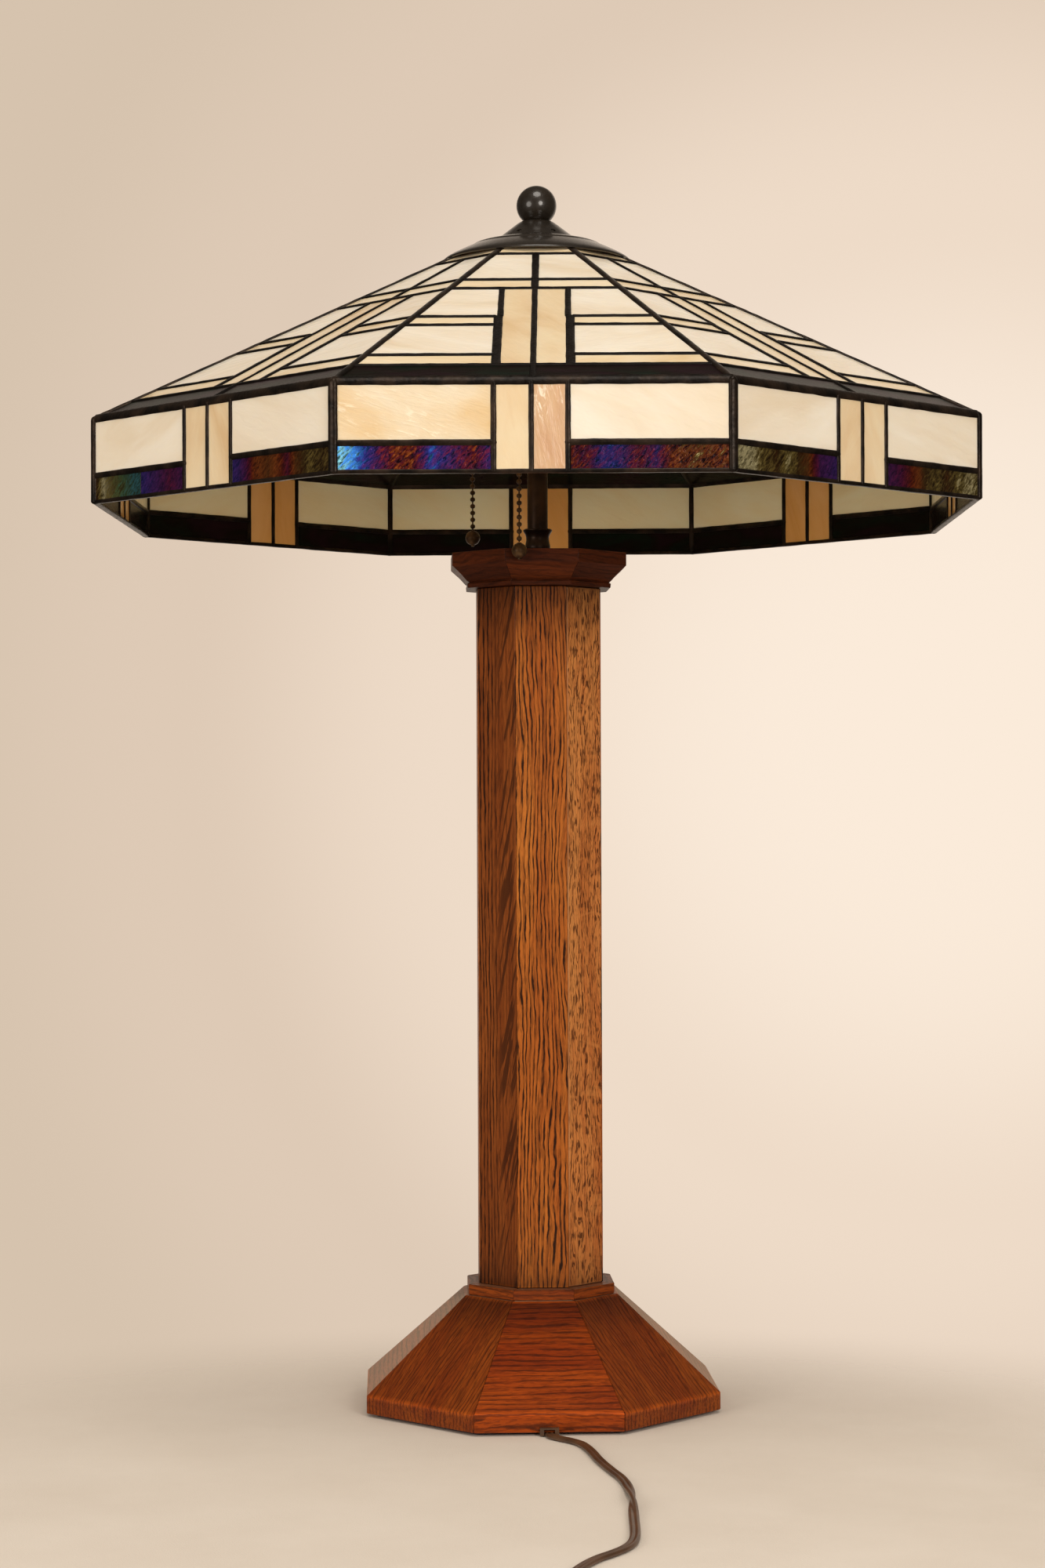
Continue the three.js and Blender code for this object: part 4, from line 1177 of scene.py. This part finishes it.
def rounded(points):
    """Rounds a closed profile between its two end points."""
    return [points[0]] + smooth_profile(points[1:-1], 1) + [points[-1]]


def arm_frame(i, centre):
    """Matrix for light i of the cluster, with X out along its arm."""
    return Matrix.Translation((0, 0, centre)) @ Matrix.Rotation(CLUSTER_ANGLE + i * math.pi, 4, "Z")


def along_arm(i, centre, out):
    """Matrix for a turned part on arm i, with Z along the arm from out millimetres."""
    return arm_frame(i, centre) @ Matrix.Translation((out, 0, 0)) @ Matrix.Rotation(math.pi / 2, 4, "Y")


def build_cap():
    """The spun cap: a low flange under a vented bell, pierced by six round vents."""
    shift = high("shade_cap").z - CAP_TOP
    outer = smooth_profile([(r, z + shift) for r, z in CAP_OUTER], 1)
    profile = outer + [(r, z + shift) for r, z in CAP_INNER]
    builder = Builder()
    lathe(builder, profile[::-1], 96, Matrix(), 0, True)
    cap = builder.object("cap", [MAT["bronze"]])
    cutters = Builder()
    for i in range(VENT["count"]):
        place = Matrix.Rotation(i * 2 * math.pi / VENT["count"], 4, "Z")
        place = place @ Matrix.Translation((VENT["out"], 0, VENT["z"] + shift))
        place = place @ Matrix.Rotation(VENT["tilt"], 4, "Y")
        lathe(cutters, [(0, -8), (VENT["radius"], -8), (VENT["radius"], 8), (0, 8)], 20, place)
    cutter = cutters.object("vents", [MAT["bronze"]])
    modifier = cap.modifiers.new("vents", "BOOLEAN")
    modifier.object, modifier.operation, modifier.solver = cutter, "DIFFERENCE", "EXACT"
    graph = bpy.context.evaluated_depsgraph_get()
    mesh = bpy.data.meshes.new_from_object(cap.evaluated_get(graph))
    cap.modifiers.clear()
    cap.data = mesh
    bpy.data.objects.remove(cutter)
    piece(cap, "shade", "bronze", "shade_cap", sharp=32)


def build_finial():
    top, bottom = high("finial").z, low("finial").z
    centre = top - FINIAL_RADIUS
    profile = [(0, bottom), (8.4, bottom), (8.8, bottom + 0.5), (8.7, bottom + 1.3), (8.2, bottom + 1.8)]
    for i in range(25):
        angle = math.radians(-50 + 140 * i / 24)
        out = FINIAL_RADIUS * math.cos(angle) if i < 24 else 0
        profile.append((out, centre + FINIAL_RADIUS * math.sin(angle)))
    turned_piece("ball_finial", profile, "bronze", "finial", "bronze", "finial")


def build_stem():
    bottom = low("stem_cup").z
    shape = [(7.1, 0), (9, 0), (9.1, 0.9), (8.6, 1.6), (8.0, 2.6), (8.3, 4), (8.5, 5.6), (8.1, 7.6),
             (7.6, 9.6), (7.6, 11.6), (8.1, 13.4), (9.0, 15), (9.6, 15.8), (9.7, 16.6), (9.2, 17.2),
             (7.1, 17.2)]
    profile = [(r, z + bottom) for r, z in rounded(shape)]
    turned_piece("stem_foot_cup", profile, "stem", "stand", "bronze", "stem_cup", closed=True)
    bottom, top = low("stem_tube").z, high("stem_tube").z
    profile = [(STEM_BORE, bottom), (STEM_RADIUS, bottom), (STEM_RADIUS, top - 0.4), (6.4, top),
               (STEM_BORE, top)]
    turned_piece("stem", profile, "stem", "stand", "bronze", "stem_tube", closed=True)
    for name, nice in (("lamp_pipe", "inner_pipe"), ("riser_pipe", "riser")):
        bottom, top = low(name).z, high(name).z
        builder = Builder()
        threads = [(3.2, bottom), (4.5, bottom)]
        z = bottom + 0.5
        while z < top - 1:
            threads += [(4.85, z), (4.85, z + 0.25), (4.6, z + 0.7)]
            z += 1.0
        threads += [(4.5, top), (3.2, top)]
        lathe(builder, threads, 20, Matrix(), 0, True)
        if name == "riser_pipe":
            collar = high("shade_wheel").z - 2.4
            lathe(builder, [(4.9, collar - 6), (8.6, collar - 5.2), (9, collar - 4.6), (9, collar - 0.4),
                            (8.6, collar), (4.9, collar)], 40, Matrix(), 0, True)
        piece(builder.object(nice, [MAT["pipe"]]), "stand", "pipe_brass", name, sharp=30)


def build_cluster():
    centre = (low("lampholder_cluster").z + high("lampholder_cluster").z) / 2 - 1.5
    hub = [(5.2, -20), (7.6, -20), (8.2, -19.4), (8.4, -18), (10.6, -15), (14.6, -9.5), (16.4, -3),
           (16.4, 3), (14.4, 8.4), (10.4, 14), (8, 18), (7.6, 22.4), (7.0, 23), (5.2, 23)]
    profile = [(r, z + centre) for r, z in rounded(hub)]
    builder = Builder()
    lathe(builder, profile, 64, Matrix(), 0, True)
    for i in range(2):
        arm = [(0, 8), (6, 8), (6, 20.6), (6.8, 21), (6.8, 23.2), (6.3, 23.7), (0, 23.7)]
        lathe(builder, arm, 40, along_arm(i, centre, 0))
    piece(builder.object("cluster_body", [MAT["bronze"]]), "stand", "bronze", "lampholder_cluster", sharp=35)
    return centre


def build_lampholder(i, centre):
    """The shell with its beaded rim and the side spout that the chain runs through."""
    place, along = arm_frame(i, centre), along_arm(i, centre, HOLDER_OUT)
    builder = Builder()
    outer = [(0, 0), (8, 0), (10.5, 0.8), (14.8, 4.2), (17.2, 10), (18.3, 15.6), (18.9, 16.4), (18.9, 17.8),
             (18.4, 18.6), (18.4, 46), (19, 47), (19.3, 48.6), (19.0, 49.8), (16.6, 50)]
    profile = smooth_profile(outer, 1) + [(16.3, 48), (16.3, 16), (0, 16)]
    lathe(builder, profile, 56, along)
    side = 1 if i == 0 else -1
    root = place @ Vector((SPOUT_OUT, side * 17.6, 0))
    tip = place @ Vector((SPOUT_OUT, side * 29.2, 0))
    outward = (tip - root).normalized()
    spout = Matrix.Translation(root) @ outward.to_track_quat("Z", "Y").to_matrix().to_4x4()
    reach = (tip - root).length
    lathe(builder, [(0, -0.5), (4.6, -0.5), (4.6, 0.8), (3.0, 1.6), (2.9, reach), (0, reach)], 28, spout)
    down = Matrix.Translation(tip)
    bell = [(2.2, -12), (3.9, -12), (4.2, -11.2), (3.6, -10), (3.4, -8), (3.4, 0)]
    dome = [(3.4 * math.cos(a), 3.4 * math.sin(a)) for a in (0.3, 0.7, 1.1)]
    lathe(builder, bell + dome + [(0, 3.4)], 28, down)
    lathe(builder, [(0, 2), (2.2, 2), (2.2, -12)], 28, down)
    shell = builder.object(f"lampholder_shell_{i + 1}", [MAT["bronze"]])
    piece(shell, "stand", "bronze", f"lampholder_{i + 1}", sharp=35)
    return tip


def build_bulb(i, centre):
    """The frosted glass envelope and its screw base."""
    place = along_arm(i, centre, BULB_OUT)
    builder = Builder()
    screw = [(0, 0), (4.5, 0), (5.5, 1.8), (9, 3)]
    z = 5.0
    while z < 25:
        screw += [(12.2, z), (13.0, z + 0.9), (13.0, z + 1.4), (12.2, z + 2.3)]
        z += 3.2
    lathe(builder, screw + [(13, 26.2), (12.4, 27), (0, 27)], 40, place, 1)
    glass = [(12.6, 26.5), (13.1, 28), (14.6, 32), (19, 43), (25.6, 57), (29.2, 70), (29.6, 80),
             (26.8, 92), (19, 102), (9, 107.6), (0, 109)]
    lathe(builder, [(0, 26.5)] + smooth_profile(glass, 2), 48, place, 0)
    obj = builder.object(f"bulb_glass_{i + 1}", [MAT["bulb"], MAT["blade"]])
    piece(obj, f"bulb_{i + 1}", "bulb_glass", f"bulb_{i + 1}", sharp=35)


def build_pull(i):
    """A bead chain of hollow beads on short links, and its pull ball."""
    lo, hi = low(f"pull_chain_{i + 1}"), high(f"pull_chain_{i + 1}")
    x, y = (lo.x + hi.x) / 2, (lo.y + hi.y) / 2
    count = round((hi.z - lo.z) / BEAD_PITCH)
    builder = Builder()
    for k in range(count):
        z = lo.z + BEAD_PITCH * (k + 0.5)
        ball(builder, Vector((x, y, z)), (1.74, 1.74, 1.68), 16, 10)
    link = Matrix.Translation((x, y, 0))
    lathe(builder, [(0, lo.z), (0.5, lo.z), (0.5, hi.z), (0, hi.z)], 10, link)
    piece(builder.object(f"bead_chain_{i + 1}", [MAT["chain"]]), f"pull_{i + 1}", "chain_brass",
          f"pull_chain_{i + 1}", sharp=60)
    lo, hi = low(f"pull_ball_{i + 1}"), high(f"pull_ball_{i + 1}")
    middle = lo.z + 6
    nib = [(0, -6), (0.8, -5.9), (1.15, -5.6), (1.2, -5)]
    sphere = [(5 * math.cos(a), 5 * math.sin(a)) for a in [math.radians(-76 + 8 * k) for k in range(20)]]
    collar = [(1.5, 4.8), (1.4, 5.1), (0.9, 5.2), (0, 5.2)]
    profile = [(r, z + middle) for r, z in nib + sphere + collar]
    turned_piece(f"bead_ball_{i + 1}", profile, "chain", f"pull_{i + 1}", "chain_brass", f"pull_ball_{i + 1}",
                 segments=40, place=link)


build_cap()
build_finial()
build_stem()
cluster_z = build_cluster()
for number in range(2):
    build_lampholder(number, cluster_z)
    build_bulb(number, cluster_z)
    build_pull(number)


# ---------------------------------------------------------------- CAD parts that only need a finish
def finish_node(name, material):
    """Gives a CAD node that stays as it is its own procedural material."""
    mesh = NODES[name].data
    mesh.materials.clear()
    mesh.materials.append(MAT[material])


for node_name, material_name in (("felt_pad", "felt"), ("base_weight", "iron"), ("cord_bushing", "plastic"),
                                 ("pipe_nut", "pipe"), ("shade_wheel", "bronze")):
    finish_node(node_name, material_name)


# ---------------------------------------------------------------- stage and light
ROOM_GLOW = Vector((0.13, 0.99, 0.03)).normalized()  # where the wall behind is brightest


def build_stage():
    """A pale table that fades away into the room."""
    material = bpy.data.materials.new("table")
    tree = nodes_of(material)
    place = node(tree, "TexCoord").outputs["Object"]
    cloth = noise_of(tree, place, (9, 9, 9), 4, 0.6)
    weave = noise_of(tree, place, (900, 900, 900), 2, 0.5)
    colour = ramp(tree, cloth, [(0.3, srgb(224, 214, 202)), (0.7, srgb(230, 221, 210))])
    bump = node(tree, "Bump", {"Height": weave, "Distance": 0.0002}).outputs[0]
    cover = node(tree, "BsdfPrincipled", {"Base Color": colour, "Roughness": 0.9, "Normal": bump})
    beyond = node(tree, "BsdfTransparent")
    distance = node(tree, "VectorMath", {0: place}, operation="LENGTH").outputs["Value"]
    fade = node(tree, "MapRange", {"Value": distance, "From Min": 0.34, "From Max": 0.72},
                interpolation_type="SMOOTHSTEP").outputs[0]
    mixed = node(tree, "MixShader", {0: fade, 1: cover.outputs[0], 2: beyond.outputs[0]})
    node(tree, "OutputMaterial", {"Surface": mixed.outputs[0]})
    mesh = bpy.data.meshes.new("table")
    reach, corners = 1.2, 96
    angles = [2 * math.pi * i / corners for i in range(corners)]
    rim = [(reach * math.cos(a), reach * math.sin(a), 0) for a in angles]
    mesh.from_pydata(rim, [], [tuple(range(corners))])
    mesh.materials.append(material)
    table = bpy.data.objects.new("table", mesh)
    table.location.y = -0.4
    bpy.context.collection.objects.link(table)


def area_light(name, place, target, size, power, colour):
    data = bpy.data.lights.new(name, "AREA")
    data.shape, data.size, data.energy, data.color = "DISK", size, power, colour
    light = bpy.data.objects.new(name, data)
    light.location = place
    light.rotation_mode = "QUATERNION"
    light.rotation_quaternion = (Vector(target) - Vector(place)).to_track_quat("-Z", "Y")
    bpy.context.collection.objects.link(light)


def build_light():
    world = bpy.data.worlds.new("room")
    bpy.context.scene.world = world
    world.use_nodes = True
    tree = world.node_tree
    tree.nodes.clear()
    toward = node(tree, "VectorMath", {0: node(tree, "TexCoord").outputs["Generated"], 1: ROOM_GLOW},
                  operation="DOT_PRODUCT").outputs["Value"]
    tones = [(0.0, srgb(214, 195, 174)), (0.45, srgb(222, 202, 182)), (0.78, srgb(238, 219, 200)),
             (1.0, srgb(251, 235, 218))]
    wall = ramp(tree, ranged(tree, toward, 0.94, 1.0), tones, "EASE")
    seen = node(tree, "Background", {"Color": wall, "Strength": 1.0})
    fill = node(tree, "Background", {"Color": (1.0, 0.87, 0.72, 1), "Strength": 0.46})
    gleam = ranged(tree, toward, 0.72, 0.95, 0.09, 0.8)
    mirrored = node(tree, "Background", {"Color": (1.0, 0.84, 0.69, 1), "Strength": gleam})
    path = node(tree, "LightPath")
    glossy, direct = path.outputs["Is Glossy Ray"], path.outputs["Is Camera Ray"]
    unseen = node(tree, "MixShader", {0: glossy, 1: fill.outputs[0], 2: mirrored.outputs[0]})
    mixed = node(tree, "MixShader", {0: direct, 1: unseen.outputs[0], 2: seen.outputs[0]})
    out = tree.nodes.new("ShaderNodeOutputWorld")
    tree.links.new(mixed.outputs[0], out.inputs["Surface"])
    centre = (0, 0, 0.42)
    area_light("key", (1.15, -2.5, 1.1), centre, 1.1, 29.5, (1.0, 0.935, 0.86))
    area_light("fill", (-1.9, -2.0, 0.9), centre, 1.4, 22, (1.0, 0.93, 0.85))
    area_light("top", (0.1, -1.0, 2.5), centre, 1.2, 20, (1.0, 0.94, 0.86))
    bpy.context.scene.view_settings.view_transform = "Standard"


build_stage()
build_light()
